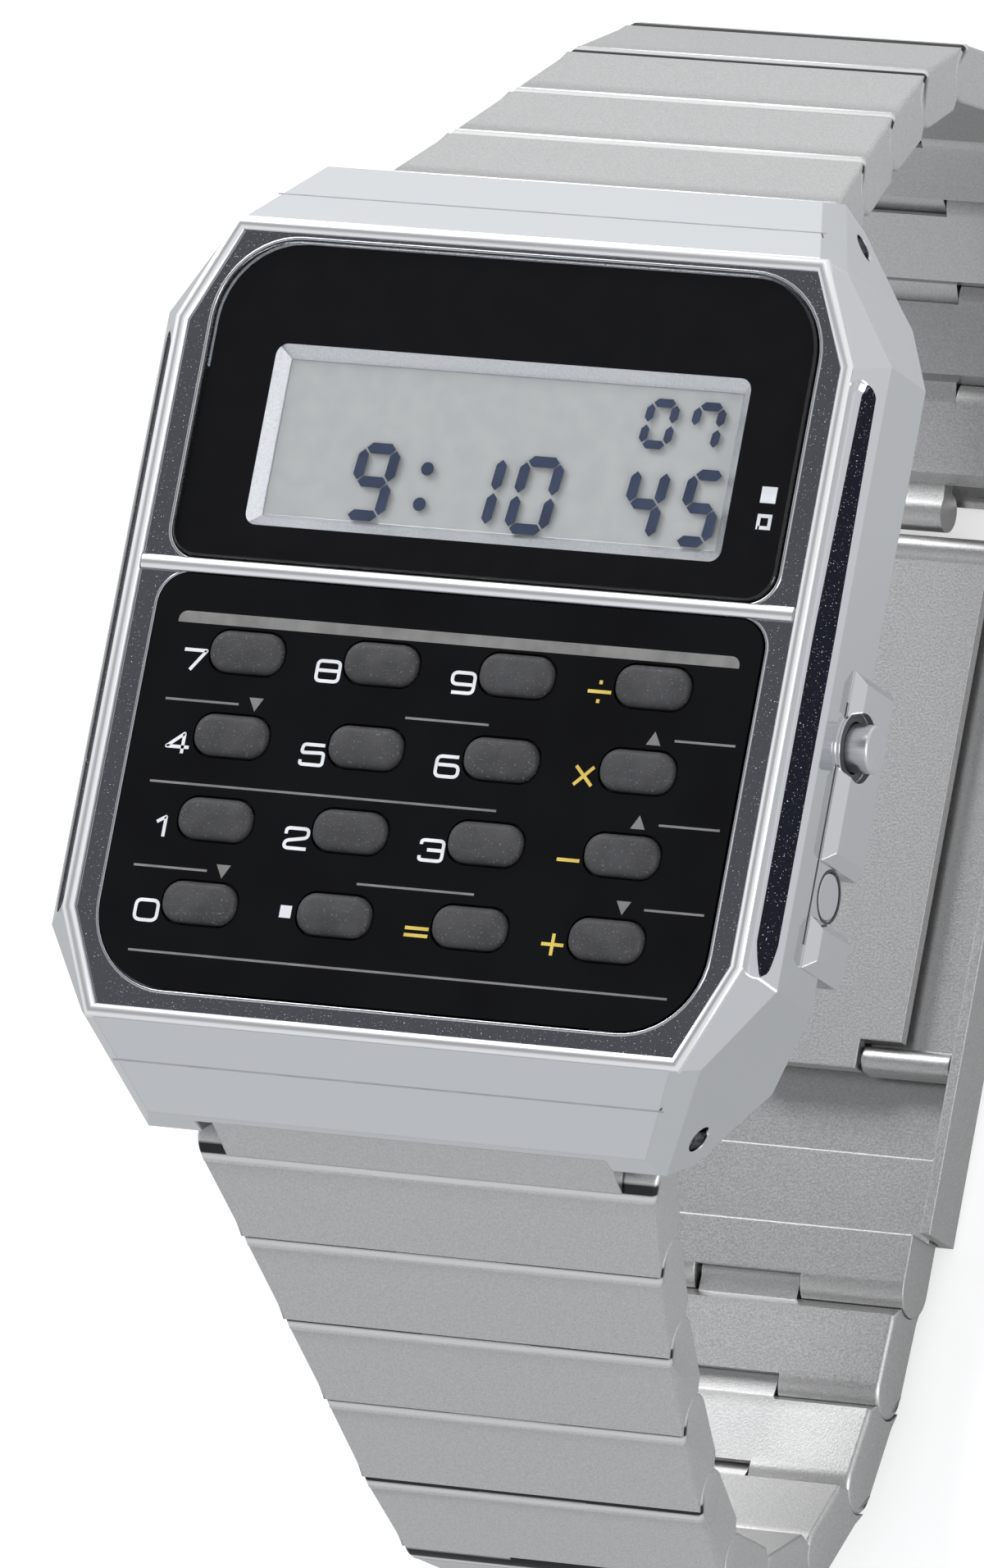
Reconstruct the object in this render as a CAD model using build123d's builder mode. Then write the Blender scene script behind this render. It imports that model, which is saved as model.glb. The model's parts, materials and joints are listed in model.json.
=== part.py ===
from build123d import *
from math import asin, cos, degrees, radians, sin, sqrt
import os

# Calculator watch with a folded-link steel bracelet, standing on its closed clasp, dial up.
# X runs to the 3 o'clock side, Y to 12 o'clock, Z out of the dial. Millimetres.
# The origin is the centre of the flat outer face of the clasp, which the watch rests on.
# Heights of the watch head are measured from the top of the front bezel plate, "the dial".

os.makedirs("parts", exist_ok=True)

# Driving sizes: watch head
case_half_width = 17.2
plate_inset = 1.7
plate_corner_width = 1.86
plate_corner_length = 4.14
ridge_width = 0.62
ridge_height = 0.12
side_bevel_drop = 1.35
side_low = 5.1
rim_depth = 7.2
rim_inset = 2.1
rim_end_inset = 4.45
shoulder_inset = 2.7
shoulder_run = 0.6
lug_length = 21.45
lug_inset = 4.9
lug_drop = 4.3
lug_face = 0.32
lug_undercut = 0.85
lug_under_drop = 5.7
flank_inset = 0.5
flank_length = 3.7
slope_run = 4.21
slope_drop = 2.97
case_wall = 2.7
overrun = 3.0

# Driving sizes: bracelet
link_pitch = 4.75
half_thickness = 1.3
bracelet_inset = 1.5
narrow_half = 7.5
taper_links = 7
upper_angles = (50, 50, 51, 60, 80, 100, 120, 140, 160)
lower_angles = (55, 56, 58, 59, 66, 92, 118, 142, 164, 176)
bar_inset = 1.78
bar_drop = 4.59
end_link_angle = 64
end_link_pitch = 3.3
end_link_play = 0.35
socket_gap = 0.12
outer_lip = 0.65
inner_lip = 1.15
inner_chamfer = 0.45
eye_radius = 0.9
pin_radius = 0.4
pin_clearance = 0.05
pin_grip = 2.0
tongue_half = 2.4
slot_gap = 0.2
neck_out = 0.1
neck_in = 0.75
roof_drop = 0.65
eye_gap = 0.12

# Driving sizes: clasp
floor_thickness = 0.6
floor_gap = 0.2
link_to_hinge = 2.94
flange_thickness = 0.5
flange_gap = 0.25
flange_height = 3.0
cover_edge = 0.25
adjust_travel = 3.0
adjuster_length = 6.0
adjuster_block = 2.2
adjuster_plate = 0.8
adjuster_play = 0.12
leaf_thickness = 0.6
leaf_gap = 0.4
leaf_play = 0.35
knuckle_radius = 0.6
knuckle_pin = 0.3
knuckle_bore = 0.35
hinge_inset = 1.15
inner_leaf_inset = 2.5
inner_knuckle_inset = 2.0
knuckle_play = 0.15
lug_bar_radius = 0.6
open_pivot_gap = 0.3
stack_gap = 0.3

# Driving sizes: front and keypad
bezel_thickness = 0.5
bezel_play = 0.05
window_side_frame = 1.1
window_top_frame = 0.24
window_bottom_frame = 0.84
plate_bar_low = 1.95
plate_bar_width = 0.65
window_big_radius = 3.7
window_small_radius = 1.4
bar_rise = 0.12
crystal_rise = 0.2
panel_rise = 0.1
panel_play = 0.06
crystal_round = 0.15
key_side_margin = 4.77
key_rows_share = 0.2016349
key_row_raise = 0.275
key_width = 3.45
key_height = 1.8
key_corner = 0.8
key_round = 0.2
key_rise = 0.35
key_play = 0.12
key_flange = 0.35
key_flange_thickness = 0.4
key_flange_gap = 0.06
key_travel = 0.4
membrane_gap = 0.1
membrane_thickness = 0.25
membrane_side_inset = 1.8
membrane_top_inset = 0.35
membrane_corner = 3.0

# Driving sizes: module, back and buttons
cavity_end_wall = 0.5
cavity_corner = 5.4
board_thickness = 0.8
module_play = 0.25
lcd_side_margin = 3.04
lcd_low_margin = 1.78
lcd_high_margin = 4.44
lcd_bevel_width = 0.6
surround_lap = 0.9
surround_thickness = 0.46
lcd_lap = 0.65
lcd_thickness = 0.62
layer_gap = 0.04
module_inset = 1.2
battery_radius = 8.0
battery_thickness = 1.6
battery_play = 0.15
battery_centre = -3.0
back_thickness = 0.8
back_side_lap = 0.3
back_end_lap = 0.25
back_corner = 1.7
gasket_width = 0.5
gasket_height = 0.5
gasket_play = 0.03
screw_side_inset = 1.9
screw_end_inset = 2.25
screw_head_radius = 0.9
screw_head_height = 0.4
screw_radius = 0.45
screw_length = 1.6
screw_play = 0.05
screw_slot_width = 0.2
screw_slot_depth = 0.2
bar_radius = 0.75
bar_play = 0.05
bar_tip_radius = 0.5
bar_end_play = 0.15
bar_tip_proud = 0.05
lug_wall = 2.55
notch_gap = 0.2
notch_roof = 0.45
scoop_radius = 1.3
scoop_out = 0.15
scoop_height = 0.42
scoop_top_inset = 0.9
scoop_low_inset = 0.2
pad_rise = 0.55
pad_top = 3.1
pad_bottom = 6.9
pad_bevel = 0.45
pad_end_inset = 1.5
pad_gap = 1.2
button_radius = 1.05
mode_y = -2.3
mode_pad_length = 3.1
mode_drop = 4.1
mode_rise = 1.25
mode_travel = 0.8
mode_recess_width = 0.45
mode_recess_depth = 0.35
adjust_inset = 5.0
adjust_drop = 4.7
adjust_button_travel = 0.6
button_play = 0.08
button_floor = 1.5
stem_radius = 0.5
stem_play = 0.05
stem_gap = 0.1
stem_head_radius = 0.8
stem_head_length = 0.4
button_round = 0.12

# Sizes that follow: widths, counted in from the side of the case
plate_half_width = case_half_width - plate_inset
plate_end_half_width = plate_half_width - plate_corner_width
rim_half_width = case_half_width - rim_inset
shoulder_end_half_width = case_half_width - shoulder_inset
lug_end_half_width = case_half_width - lug_inset
slope_end_half_width = lug_end_half_width - flank_inset
notch_half = lug_end_half_width - lug_wall
end_link_half = notch_half - end_link_play
wide_half = lug_end_half_width - bracelet_inset
bar_body_half = notch_half - bar_end_play
bar_tip_half = lug_end_half_width + bar_tip_proud
cavity_half_width = case_half_width - case_wall
back_half_width = cavity_half_width + back_side_lap
screw_x = back_half_width - screw_side_inset
scoop_x = case_half_width + scoop_out
window_half_width = plate_half_width - window_side_frame
key_pitch_x = (window_half_width - key_side_margin) / 1.5
membrane_half_width = window_half_width - membrane_side_inset
lcd_bevel_half_width = window_half_width - lcd_side_margin
lcd_open_half_width = lcd_bevel_half_width - lcd_bevel_width
surround_half_width = lcd_bevel_half_width + surround_lap
lcd_half_width = lcd_open_half_width + lcd_lap
inner_leaf_half = narrow_half - inner_leaf_inset
inner_knuckle_half = inner_leaf_half - inner_knuckle_inset

# Sizes that follow: lengths, counted in from the end of the lugs
slope_length = lug_length - lug_face
lug_under_length = lug_length - lug_undercut
shoulder_end_length = lug_length - flank_length
rim_half_length = lug_length - rim_end_inset
plate_half_length = lug_length - slope_run
plate_side_half_length = plate_half_length - plate_corner_length
shoulder_half_length = plate_side_half_length + shoulder_run
bar_length = lug_length - bar_inset
scoop_high = plate_side_half_length - scoop_top_inset
scoop_low = scoop_low_inset - plate_side_half_length
cavity_half_length = rim_half_length - cavity_end_wall
back_half_length = rim_half_length - back_end_lap
screw_y = back_half_length - screw_end_inset
lower_window_high = plate_bar_low
upper_window_low = plate_bar_low + plate_bar_width
upper_window_high = plate_half_length - window_top_frame
lower_window_low = window_bottom_frame - plate_half_length
lcd_low = upper_window_low + lcd_low_margin
lcd_high = upper_window_high - lcd_high_margin
lcd_centre = (lcd_low + lcd_high) / 2
lcd_bevel_half_length = (lcd_high - lcd_low) / 2
lcd_open_half_length = lcd_bevel_half_length - lcd_bevel_width
surround_half_length = lcd_bevel_half_length + surround_lap
lcd_half_length = lcd_open_half_length + lcd_lap
key_pitch_y = (lower_window_high - lower_window_low) * key_rows_share
key_row_centre = (lower_window_high + lower_window_low) / 2 + key_row_raise
membrane_high = lower_window_high - membrane_top_inset
membrane_low = lower_window_low + membrane_side_inset
pad_low = pad_end_inset - shoulder_half_length
adjust_y = adjust_inset - shoulder_half_length
pad_gap_high = adjust_y + pad_gap
pad_gap_low = adjust_y - pad_gap
pad_high = mode_y + mode_pad_length

# Sizes that follow: bores and the module
module_depth = rim_depth - module_inset
socket_radius = half_thickness + socket_gap
bar_bore = bar_radius + bar_play
bar_hole_radius = bar_tip_radius + bar_play


def link_half(k):
    """Half width of the bracelet at joint k: a square-law taper that ends at joint taper_links."""
    rest = max(0.0, 1 - k / taper_links)
    return narrow_half + (wide_half - narrow_half) * rest**2


def chain(start, angles, side):
    """Joint places (y, z) along a run of links, each hanging down by its angle below the dial."""
    places = [start]
    for angle in angles:
        y, z = places[-1]
        step_y = side * link_pitch * cos(radians(angle))
        step_z = link_pitch * sin(radians(angle))
        places.append((y + step_y, z - step_z))
    return places


# The height of the dial follows from the lower half of the bracelet.
clasp_pivot_z = floor_thickness + floor_gap + half_thickness
lower_drop = link_pitch * sum(sin(radians(a)) for a in lower_angles)
end_link_drop = end_link_pitch * sin(radians(end_link_angle))
end_link_reach = end_link_pitch * cos(radians(end_link_angle))
dial_z = clasp_pivot_z + lower_drop + end_link_drop + bar_drop
first_joint_y = bar_length + end_link_reach
first_joint_z = dial_z - bar_drop - end_link_drop
upper_part_drop = link_pitch * sum(sin(radians(a)) for a in upper_angles)
last_upper_angle = 180 - degrees(asin((lower_drop - upper_part_drop) / link_pitch))
upper_joints = chain((first_joint_y, first_joint_z), upper_angles + (last_upper_angle,), 1)
lower_joints = chain((-first_joint_y, first_joint_z), lower_angles, -1)

ridge_half_width = plate_half_width + ridge_width
ridge_half_length = plate_half_length + ridge_width
key_flange_top = bezel_thickness + key_flange_gap
key_bottom = key_flange_top + key_flange_thickness
membrane_top = key_bottom + key_travel + membrane_gap
board_top = membrane_top + membrane_thickness
surround_top = bezel_thickness + layer_gap
lcd_top = surround_top + surround_thickness + layer_gap
board_bottom = board_top + board_thickness
inner_half_width = cavity_half_width - module_play
inner_half_length = cavity_half_length - module_play


def dial_plane(depth):
    """A level plane this far below the dial."""
    return Plane.XY.offset(dial_z - depth)


def octagon(half_x, half_y, end_half_x, side_half_y):
    """The eight corners of a plate whose corners are cut off straight."""
    quarter = [(half_x, side_half_y), (end_half_x, half_y)]
    left = [(-x, y) for x, y in reversed(quarter)]
    low = [(x, -y) for x, y in reversed(quarter + left)]
    return quarter + left + low


def cut_corners(half_x, half_y, corner):
    """An octagon whose corners are cut at 45 degrees."""
    return octagon(half_x, half_y, half_x - corner, half_y - corner)


dial_side = Plane(origin=(0, 0, dial_z), x_dir=(0, 1, 0), z_dir=(1, 0, 0))
dial_end = Plane(origin=(0, 0, dial_z), x_dir=(1, 0, 0), z_dir=(0, -1, 0))


def facet(a, b, c):
    """Plane through three points of the case, given as (x, y, depth), facing away from its middle."""
    p, q, r = (Vector(x, y, dial_z - depth) for x, y, depth in (a, b, c))
    normal = (q - p).cross(r - p).normalized()
    if normal.dot(p - Vector(0, 0, dial_z - rim_depth)) < 0:
        normal = -normal
    return Plane(origin=p, x_dir=(q - p).normalized(), z_dir=normal)


def corner_facets():
    """The bevels of the four corners and of the flanks of the lugs."""
    planes = []
    for sx in (1, -1):
        for sy in (1, -1):
            ridge_end = (sx * plate_end_half_width, sy * ridge_half_length, -ridge_height)
            ridge_side = (sx * ridge_half_width, sy * plate_side_half_length, -ridge_height)
            shoulder = (sx * case_half_width, sy * shoulder_half_length, side_bevel_drop)
            slope_end = (sx * slope_end_half_width, sy * slope_length, slope_drop)
            flank = (sx * lug_end_half_width, sy * lug_length, lug_drop)
            planes.append(facet(ridge_end, ridge_side, shoulder))
            planes.append(facet(ridge_end, slope_end, flank))
    return planes


case_outline = [
    (case_half_width, shoulder_half_length),
    (shoulder_end_half_width, shoulder_end_length),
    (lug_end_half_width, lug_length),
]
case_outline += [(-x, y) for x, y in reversed(case_outline)]
case_outline += [(x, -y) for x, y in reversed(case_outline)]
lengthwise = [
    (ridge_half_length, ridge_height),
    (slope_length, -slope_drop),
    (lug_length, -lug_drop),
    (lug_under_length, -lug_under_drop),
    (rim_half_length, -rim_depth),
]
lengthwise += [(-y, z) for y, z in reversed(lengthwise)]
crosswise = [
    (ridge_half_width, ridge_height),
    (case_half_width, -side_bevel_drop),
    (case_half_width, -side_low),
    (rim_half_width, -rim_depth),
]
crosswise += [(-x, z) for x, z in reversed(crosswise)]
notch_radius = half_thickness + notch_gap
pad_top_x = case_half_width + pad_rise
button_floor_x = case_half_width - button_floor
mode_centre = (mode_y, -mode_drop)
adjust_centre = (adjust_y, -adjust_drop)
side_out = Plane(origin=(button_floor_x, 0, dial_z), x_dir=(0, 1, 0), z_dir=(1, 0, 0))
side_in = Plane(origin=(cavity_half_width - overrun, 0, dial_z), x_dir=(0, 1, 0), z_dir=(1, 0, 0))

with BuildPart() as case_body:
    with BuildSketch(dial_plane(rim_depth)):
        Polygon(*case_outline, align=None)
    extrude(amount=rim_depth + ridge_height)
    with BuildSketch(dial_side):
        Polygon(*lengthwise, align=None)
    extrude(amount=case_half_width, both=True, mode=Mode.INTERSECT)
    with BuildSketch(dial_end):
        Polygon(*crosswise, align=None)
    extrude(amount=lug_length, both=True, mode=Mode.INTERSECT)
    for plane in corner_facets():
        with BuildSketch(plane):
            Rectangle(4 * lug_length, 4 * lug_length)
        extrude(amount=lug_length, mode=Mode.SUBTRACT)
    # polished concave channels beside the plate, one on each side
    for sx in (1, -1):
        channel = Plane(
            origin=(sx * scoop_x, scoop_low, dial_z + scoop_height),
            x_dir=(1, 0, 0),
            z_dir=(0, 1, 0),
        )
        with BuildSketch(channel):
            Circle(scoop_radius)
        extrude(amount=scoop_high - scoop_low, mode=Mode.SUBTRACT)
        with Locations(
            (sx * scoop_x, scoop_low, dial_z + scoop_height),
            (sx * scoop_x, scoop_high, dial_z + scoop_height),
        ):
            Sphere(scoop_radius, mode=Mode.SUBTRACT)
    # raised pad that guards the two buttons, with a gap at the flush one
    with BuildSketch(side_out):
        pad_length = pad_high - pad_gap_high
        with Locations(((pad_high + pad_gap_high) / 2, -(pad_top + pad_bottom) / 2)):
            Rectangle(pad_length, pad_bottom - pad_top)
        with Locations(((pad_gap_low + pad_low) / 2, -(pad_top + pad_bottom) / 2)):
            Rectangle(pad_gap_low - pad_low, pad_bottom - pad_top)
    extrude(amount=pad_top_x - button_floor_x)
    pad_edges = case_body.edges().filter_by_position(Axis.X, pad_top_x - pad_rise / 4, pad_top_x + pad_rise)
    chamfer(pad_edges, length=pad_bevel)
    with BuildSketch(dial_side):
        Polygon(*lengthwise, align=None)
    extrude(amount=pad_top_x, both=True, mode=Mode.INTERSECT)
    # pocket for the front plate, and the cavity for the module, open through the back
    with BuildSketch(dial_plane(bezel_thickness)):
        Polygon(
            *octagon(plate_half_width, plate_half_length, plate_end_half_width, plate_side_half_length),
            align=None,
        )
        offset(amount=bezel_play, kind=Kind.INTERSECTION)
    extrude(amount=bezel_thickness + overrun, mode=Mode.SUBTRACT)
    with BuildSketch(dial_plane(rim_depth)):
        Polygon(*cut_corners(cavity_half_width, cavity_half_length, cavity_corner), align=None)
    extrude(amount=rim_depth, mode=Mode.SUBTRACT)
    with BuildSketch(dial_plane(rim_depth)):
        Polygon(*cut_corners(cavity_half_width, cavity_half_length, cavity_corner), align=None)
        offset(amount=gasket_width + gasket_play, kind=Kind.INTERSECTION)
    extrude(amount=gasket_height + gasket_play, mode=Mode.SUBTRACT)
    # notches for the end links, and the holes for the spring bars right through the lugs
    for sy in (1, -1):
        bar_at = (sy * bar_length, -bar_drop)
        notch_end = lug_length + overrun
        with BuildSketch(dial_side):
            with Locations(bar_at):
                Circle(notch_radius)
            Polygon(
                (sy * (bar_length - notch_radius), -rim_depth - overrun),
                (sy * notch_end, -rim_depth - overrun),
                (sy * notch_end, -slope_drop - notch_roof),
                (sy * bar_length, -slope_drop - notch_roof),
                (sy * bar_length, -bar_drop),
                (sy * (bar_length - notch_radius), -bar_drop),
                align=None,
            )
        extrude(amount=notch_half, both=True, mode=Mode.SUBTRACT)
        with BuildSketch(dial_side):
            with Locations(bar_at):
                Circle(bar_hole_radius)
        extrude(amount=case_half_width, both=True, mode=Mode.SUBTRACT)
    # blind tapped holes for the back screws
    with BuildSketch(dial_plane(rim_depth)):
        with GridLocations(2 * screw_x, 2 * screw_y, 2, 2):
            Circle(screw_radius + screw_play)
    extrude(amount=screw_length, mode=Mode.SUBTRACT)
    # shallow recess round the pusher that stands out
    with BuildSketch(side_out):
        with Locations(mode_centre):
            Circle(button_radius + mode_recess_width)
    extrude(amount=button_floor + pad_rise - mode_recess_depth)
    with BuildSketch(Plane(origin=(pad_top_x - mode_recess_depth, 0, dial_z), x_dir=(0, 1, 0), z_dir=(1, 0, 0))):
        with Locations(mode_centre):
            Circle(button_radius + mode_recess_width)
    extrude(amount=mode_recess_depth + overrun, mode=Mode.SUBTRACT)
    # wells and stem holes of the two buttons
    with BuildSketch(side_out):
        with Locations(mode_centre, adjust_centre):
            Circle(button_radius + button_play)
    extrude(amount=button_floor + pad_rise + overrun, mode=Mode.SUBTRACT)
    with BuildSketch(side_in):
        with Locations(mode_centre, adjust_centre):
            Circle(stem_radius + stem_play)
    extrude(amount=2 * overrun, mode=Mode.SUBTRACT)
case_body.part.label = "case_body"
export_step(case_body.part, "parts/case_body.step")


def window(low, high, half_width, low_radius, high_radius, shrink, thickness, mode=Mode.ADD):
    """A slab with rounded corners, one radius at each end, that fills a window of the front plate."""
    with BuildSketch(dial_plane(bezel_thickness)) as slab:
        with Locations((0, (low + high) / 2)):
            Rectangle(2 * (half_width - shrink), high - low - 2 * shrink)
        fillet(slab.vertices().group_by(Axis.Y)[0], radius=low_radius - shrink)
        fillet(slab.vertices().group_by(Axis.Y)[-1], radius=high_radius - shrink)
    extrude(slab.sketch, amount=thickness, mode=mode)


upper_window = (upper_window_low, upper_window_high, window_half_width)
upper_radii = (window_small_radius, window_big_radius)
lower_window = (lower_window_low, lower_window_high, window_half_width)
lower_radii = (window_big_radius, window_small_radius)

with BuildPart() as front_bezel:
    with BuildSketch(dial_plane(bezel_thickness)):
        Polygon(
            *octagon(plate_half_width, plate_half_length, plate_end_half_width, plate_side_half_length),
            align=None,
        )
    extrude(amount=bezel_thickness)
    # the polished bar between the windows stands a little proud
    with BuildSketch(dial_plane(bezel_thickness)):
        with Locations((0, (upper_window_low + lower_window_high) / 2)):
            Rectangle(2 * plate_half_width, upper_window_low - lower_window_high)
    extrude(amount=bezel_thickness + bar_rise)
    window(*upper_window, *upper_radii, 0, bezel_thickness + overrun, Mode.SUBTRACT)
    window(*lower_window, *lower_radii, 0, bezel_thickness + overrun, Mode.SUBTRACT)
front_bezel.part.label = "front_bezel"
export_step(front_bezel.part, "parts/front_bezel.step")

with BuildPart() as display_crystal:
    window(*upper_window, *upper_radii, panel_play, bezel_thickness + crystal_rise)
    fillet(display_crystal.faces().sort_by(Axis.Z)[-1].edges(), radius=crystal_round)
display_crystal.part.label = "display_crystal"
export_step(display_crystal.part, "parts/display_crystal.step")

with BuildPart() as keypad_panel:
    window(*lower_window, *lower_radii, panel_play, bezel_thickness + panel_rise)
    with BuildSketch(dial_plane(bezel_thickness)):
        with Locations((0, key_row_centre)):
            with GridLocations(key_pitch_x, key_pitch_y, 4, 4):
                RectangleRounded(key_width + 2 * key_play, key_height + 2 * key_play, key_corner + key_play)
    extrude(amount=bezel_thickness + panel_rise, mode=Mode.SUBTRACT)
keypad_panel.part.label = "keypad_panel"
export_step(keypad_panel.part, "parts/keypad_panel.step")

key_rows = (
    ("7", "8", "9", "divide"),
    ("4", "5", "6", "multiply"),
    ("1", "2", "3", "minus"),
    ("0", "point", "equals", "plus"),
)
for row, names in enumerate(key_rows):
    for column, name in enumerate(names):
        x = (column - 1.5) * key_pitch_x
        y = key_row_centre + (1.5 - row) * key_pitch_y
        with BuildPart() as key:
            with BuildSketch(dial_plane(key_bottom)):
                with Locations((x, y)):
                    RectangleRounded(
                        key_width + 2 * key_flange, key_height + 2 * key_flange, key_corner + key_flange
                    )
            extrude(amount=key_flange_thickness)
            with BuildSketch(dial_plane(key_bottom)):
                with Locations((x, y)):
                    RectangleRounded(key_width, key_height, key_corner)
            extrude(amount=key_bottom + panel_rise + key_rise)
            fillet(key.faces().sort_by(Axis.Z)[-1].edges(), radius=key_round)
        key.part.label = f"key_{name}"
        export_step(key.part, f"parts/key_{name}.step")

with BuildPart() as key_membrane:
    with BuildSketch(dial_plane(membrane_top + membrane_thickness)):
        with Locations((0, (membrane_high + membrane_low) / 2)):
            sheet = Rectangle(2 * membrane_half_width, membrane_high - membrane_low)
        chamfer(sheet.vertices().group_by(Axis.Y)[0], length=membrane_corner)
    extrude(amount=membrane_thickness)
key_membrane.part.label = "key_membrane"
export_step(key_membrane.part, "parts/key_membrane.step")

with BuildPart() as lcd_surround:
    with BuildSketch(dial_plane(surround_top)):
        with Locations((0, lcd_centre)):
            Rectangle(2 * surround_half_width, 2 * surround_half_length)
    extrude(amount=-surround_thickness)
    with BuildSketch(dial_plane(surround_top)):
        with Locations((0, lcd_centre)):
            Rectangle(2 * lcd_bevel_half_width, 2 * lcd_bevel_half_length)
    with BuildSketch(dial_plane(surround_top + surround_thickness)):
        with Locations((0, lcd_centre)):
            Rectangle(2 * lcd_open_half_width, 2 * lcd_open_half_length)
    loft(mode=Mode.SUBTRACT)
lcd_surround.part.label = "lcd_surround"
export_step(lcd_surround.part, "parts/lcd_surround.step")

with BuildPart() as lcd_panel:
    with BuildSketch(dial_plane(lcd_top)):
        with Locations((0, lcd_centre)):
            Rectangle(2 * lcd_half_width, 2 * lcd_half_length)
    extrude(amount=-lcd_thickness)
lcd_panel.part.label = "lcd_panel"
export_step(lcd_panel.part, "parts/lcd_panel.step")

with BuildPart() as circuit_board:
    with BuildSketch(dial_plane(board_bottom)):
        Polygon(*cut_corners(inner_half_width, inner_half_length, cavity_corner), align=None)
    extrude(amount=board_thickness)
circuit_board.part.label = "circuit_board"
export_step(circuit_board.part, "parts/circuit_board.step")

stem_end_x = cavity_half_width - stem_gap - stem_head_length
stem_room = mode_travel + stem_head_length + 2 * stem_gap
with BuildPart() as module_frame:
    with BuildSketch(dial_plane(module_depth)):
        Polygon(*cut_corners(inner_half_width, inner_half_length, cavity_corner), align=None)
    extrude(amount=module_depth - board_bottom)
    with BuildSketch(dial_plane(module_depth)):
        with Locations((0, battery_centre)):
            Circle(battery_radius + battery_play)
    extrude(amount=battery_thickness + battery_play, mode=Mode.SUBTRACT)
    # hollows in the edge, where the button stems reach the contact springs
    for centre_y, centre_drop in ((mode_y, mode_drop), (adjust_y, adjust_drop)):
        with BuildSketch(Plane(origin=(cavity_half_width, 0, dial_z), x_dir=(0, 1, 0), z_dir=(-1, 0, 0))):
            with Locations((centre_y, centre_drop)):
                Circle(stem_head_radius + 2 * stem_gap)
        extrude(amount=stem_room + stem_gap, mode=Mode.SUBTRACT)
module_frame.part.label = "module_frame"
export_step(module_frame.part, "parts/module_frame.step")

with BuildPart() as battery:
    with BuildSketch(dial_plane(module_depth)):
        with Locations((0, battery_centre)):
            Circle(battery_radius)
    extrude(amount=battery_thickness)
battery.part.label = "battery"
export_step(battery.part, "parts/battery.step")

with BuildPart() as case_back:
    with BuildSketch(dial_plane(rim_depth + back_thickness)):
        Polygon(*cut_corners(back_half_width, back_half_length, back_corner), align=None)
    extrude(amount=back_thickness)
    with BuildSketch(dial_plane(rim_depth)):
        Polygon(*cut_corners(inner_half_width, inner_half_length, cavity_corner), align=None)
    extrude(amount=rim_depth - module_depth - layer_gap)
    with BuildSketch(dial_plane(rim_depth + back_thickness)):
        with GridLocations(2 * screw_x, 2 * screw_y, 2, 2):
            Circle(screw_radius + screw_play)
    extrude(amount=back_thickness, mode=Mode.SUBTRACT)
    with BuildSketch(dial_plane(rim_depth + back_thickness)):
        with GridLocations(2 * screw_x, 2 * screw_y, 2, 2):
            Circle(screw_head_radius + screw_play)
    extrude(amount=screw_head_height, mode=Mode.SUBTRACT)
case_back.part.label = "case_back"
export_step(case_back.part, "parts/case_back.step")

with BuildPart() as case_back_gasket:
    with BuildSketch(dial_plane(rim_depth)):
        Polygon(*cut_corners(cavity_half_width, cavity_half_length, cavity_corner), align=None)
        offset(amount=gasket_width, kind=Kind.INTERSECTION)
        Polygon(
            *cut_corners(cavity_half_width, cavity_half_length, cavity_corner),
            align=None,
            mode=Mode.SUBTRACT,
        )
    extrude(amount=gasket_height)
case_back_gasket.part.label = "case_back_gasket"
export_step(case_back_gasket.part, "parts/case_back_gasket.step")

with BuildPart() as case_back_screws:
    with BuildSketch(dial_plane(rim_depth + back_thickness)):
        with GridLocations(2 * screw_x, 2 * screw_y, 2, 2):
            Circle(screw_head_radius)
    extrude(amount=screw_head_height)
    with BuildSketch(dial_plane(rim_depth + back_thickness)):
        with GridLocations(2 * screw_x, 2 * screw_y, 2, 2):
            Circle(screw_radius)
    extrude(amount=back_thickness + screw_length - screw_play)
    with BuildSketch(dial_plane(rim_depth + back_thickness)):
        with GridLocations(2 * screw_x, 2 * screw_y, 2, 2):
            Rectangle(2 * screw_head_radius, screw_slot_width)
            Rectangle(screw_slot_width, 2 * screw_head_radius)
    extrude(amount=screw_slot_depth, mode=Mode.SUBTRACT)
case_back_screws.part.label = "case_back_screws"
export_step(case_back_screws.part, "parts/case_back_screws.step")

with BuildPart() as spring_bars:
    for sy in (1, -1):
        with BuildSketch(dial_side):
            with Locations((sy * bar_length, -bar_drop)):
                Circle(bar_radius)
        extrude(amount=bar_body_half, both=True)
        with BuildSketch(dial_side):
            with Locations((sy * bar_length, -bar_drop)):
                Circle(bar_tip_radius)
        extrude(amount=bar_tip_half, both=True)
spring_bars.part.label = "spring_bars"
export_step(spring_bars.part, "parts/spring_bars.step")


def make_button(name, centre, rise, travel):
    """A pusher: its head slides in the well of the case, its stem ends inside the module's edge."""
    head_bottom = button_floor_x + travel + stem_gap
    with BuildPart() as button:
        at_head = Plane(origin=(head_bottom, 0, dial_z), x_dir=(0, 1, 0), z_dir=(1, 0, 0))
        with BuildSketch(at_head):
            with Locations(centre):
                Circle(button_radius)
        extrude(amount=pad_top_x - pad_rise + rise - head_bottom)
        fillet(button.faces().sort_by(Axis.X)[-1].edges(), radius=button_round)
        at_stem = Plane(origin=(stem_end_x, 0, dial_z), x_dir=(0, 1, 0), z_dir=(1, 0, 0))
        with BuildSketch(at_stem):
            with Locations(centre):
                Circle(stem_radius)
        extrude(amount=head_bottom - stem_end_x)
        with BuildSketch(at_stem):
            with Locations(centre):
                Circle(stem_head_radius)
        extrude(amount=stem_head_length)
    button.part.label = name
    export_step(button.part, f"parts/{name}.step")


make_button("mode_button", mode_centre, mode_rise, mode_travel)
make_button("adjust_button", adjust_centre, 0, adjust_button_travel)


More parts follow.
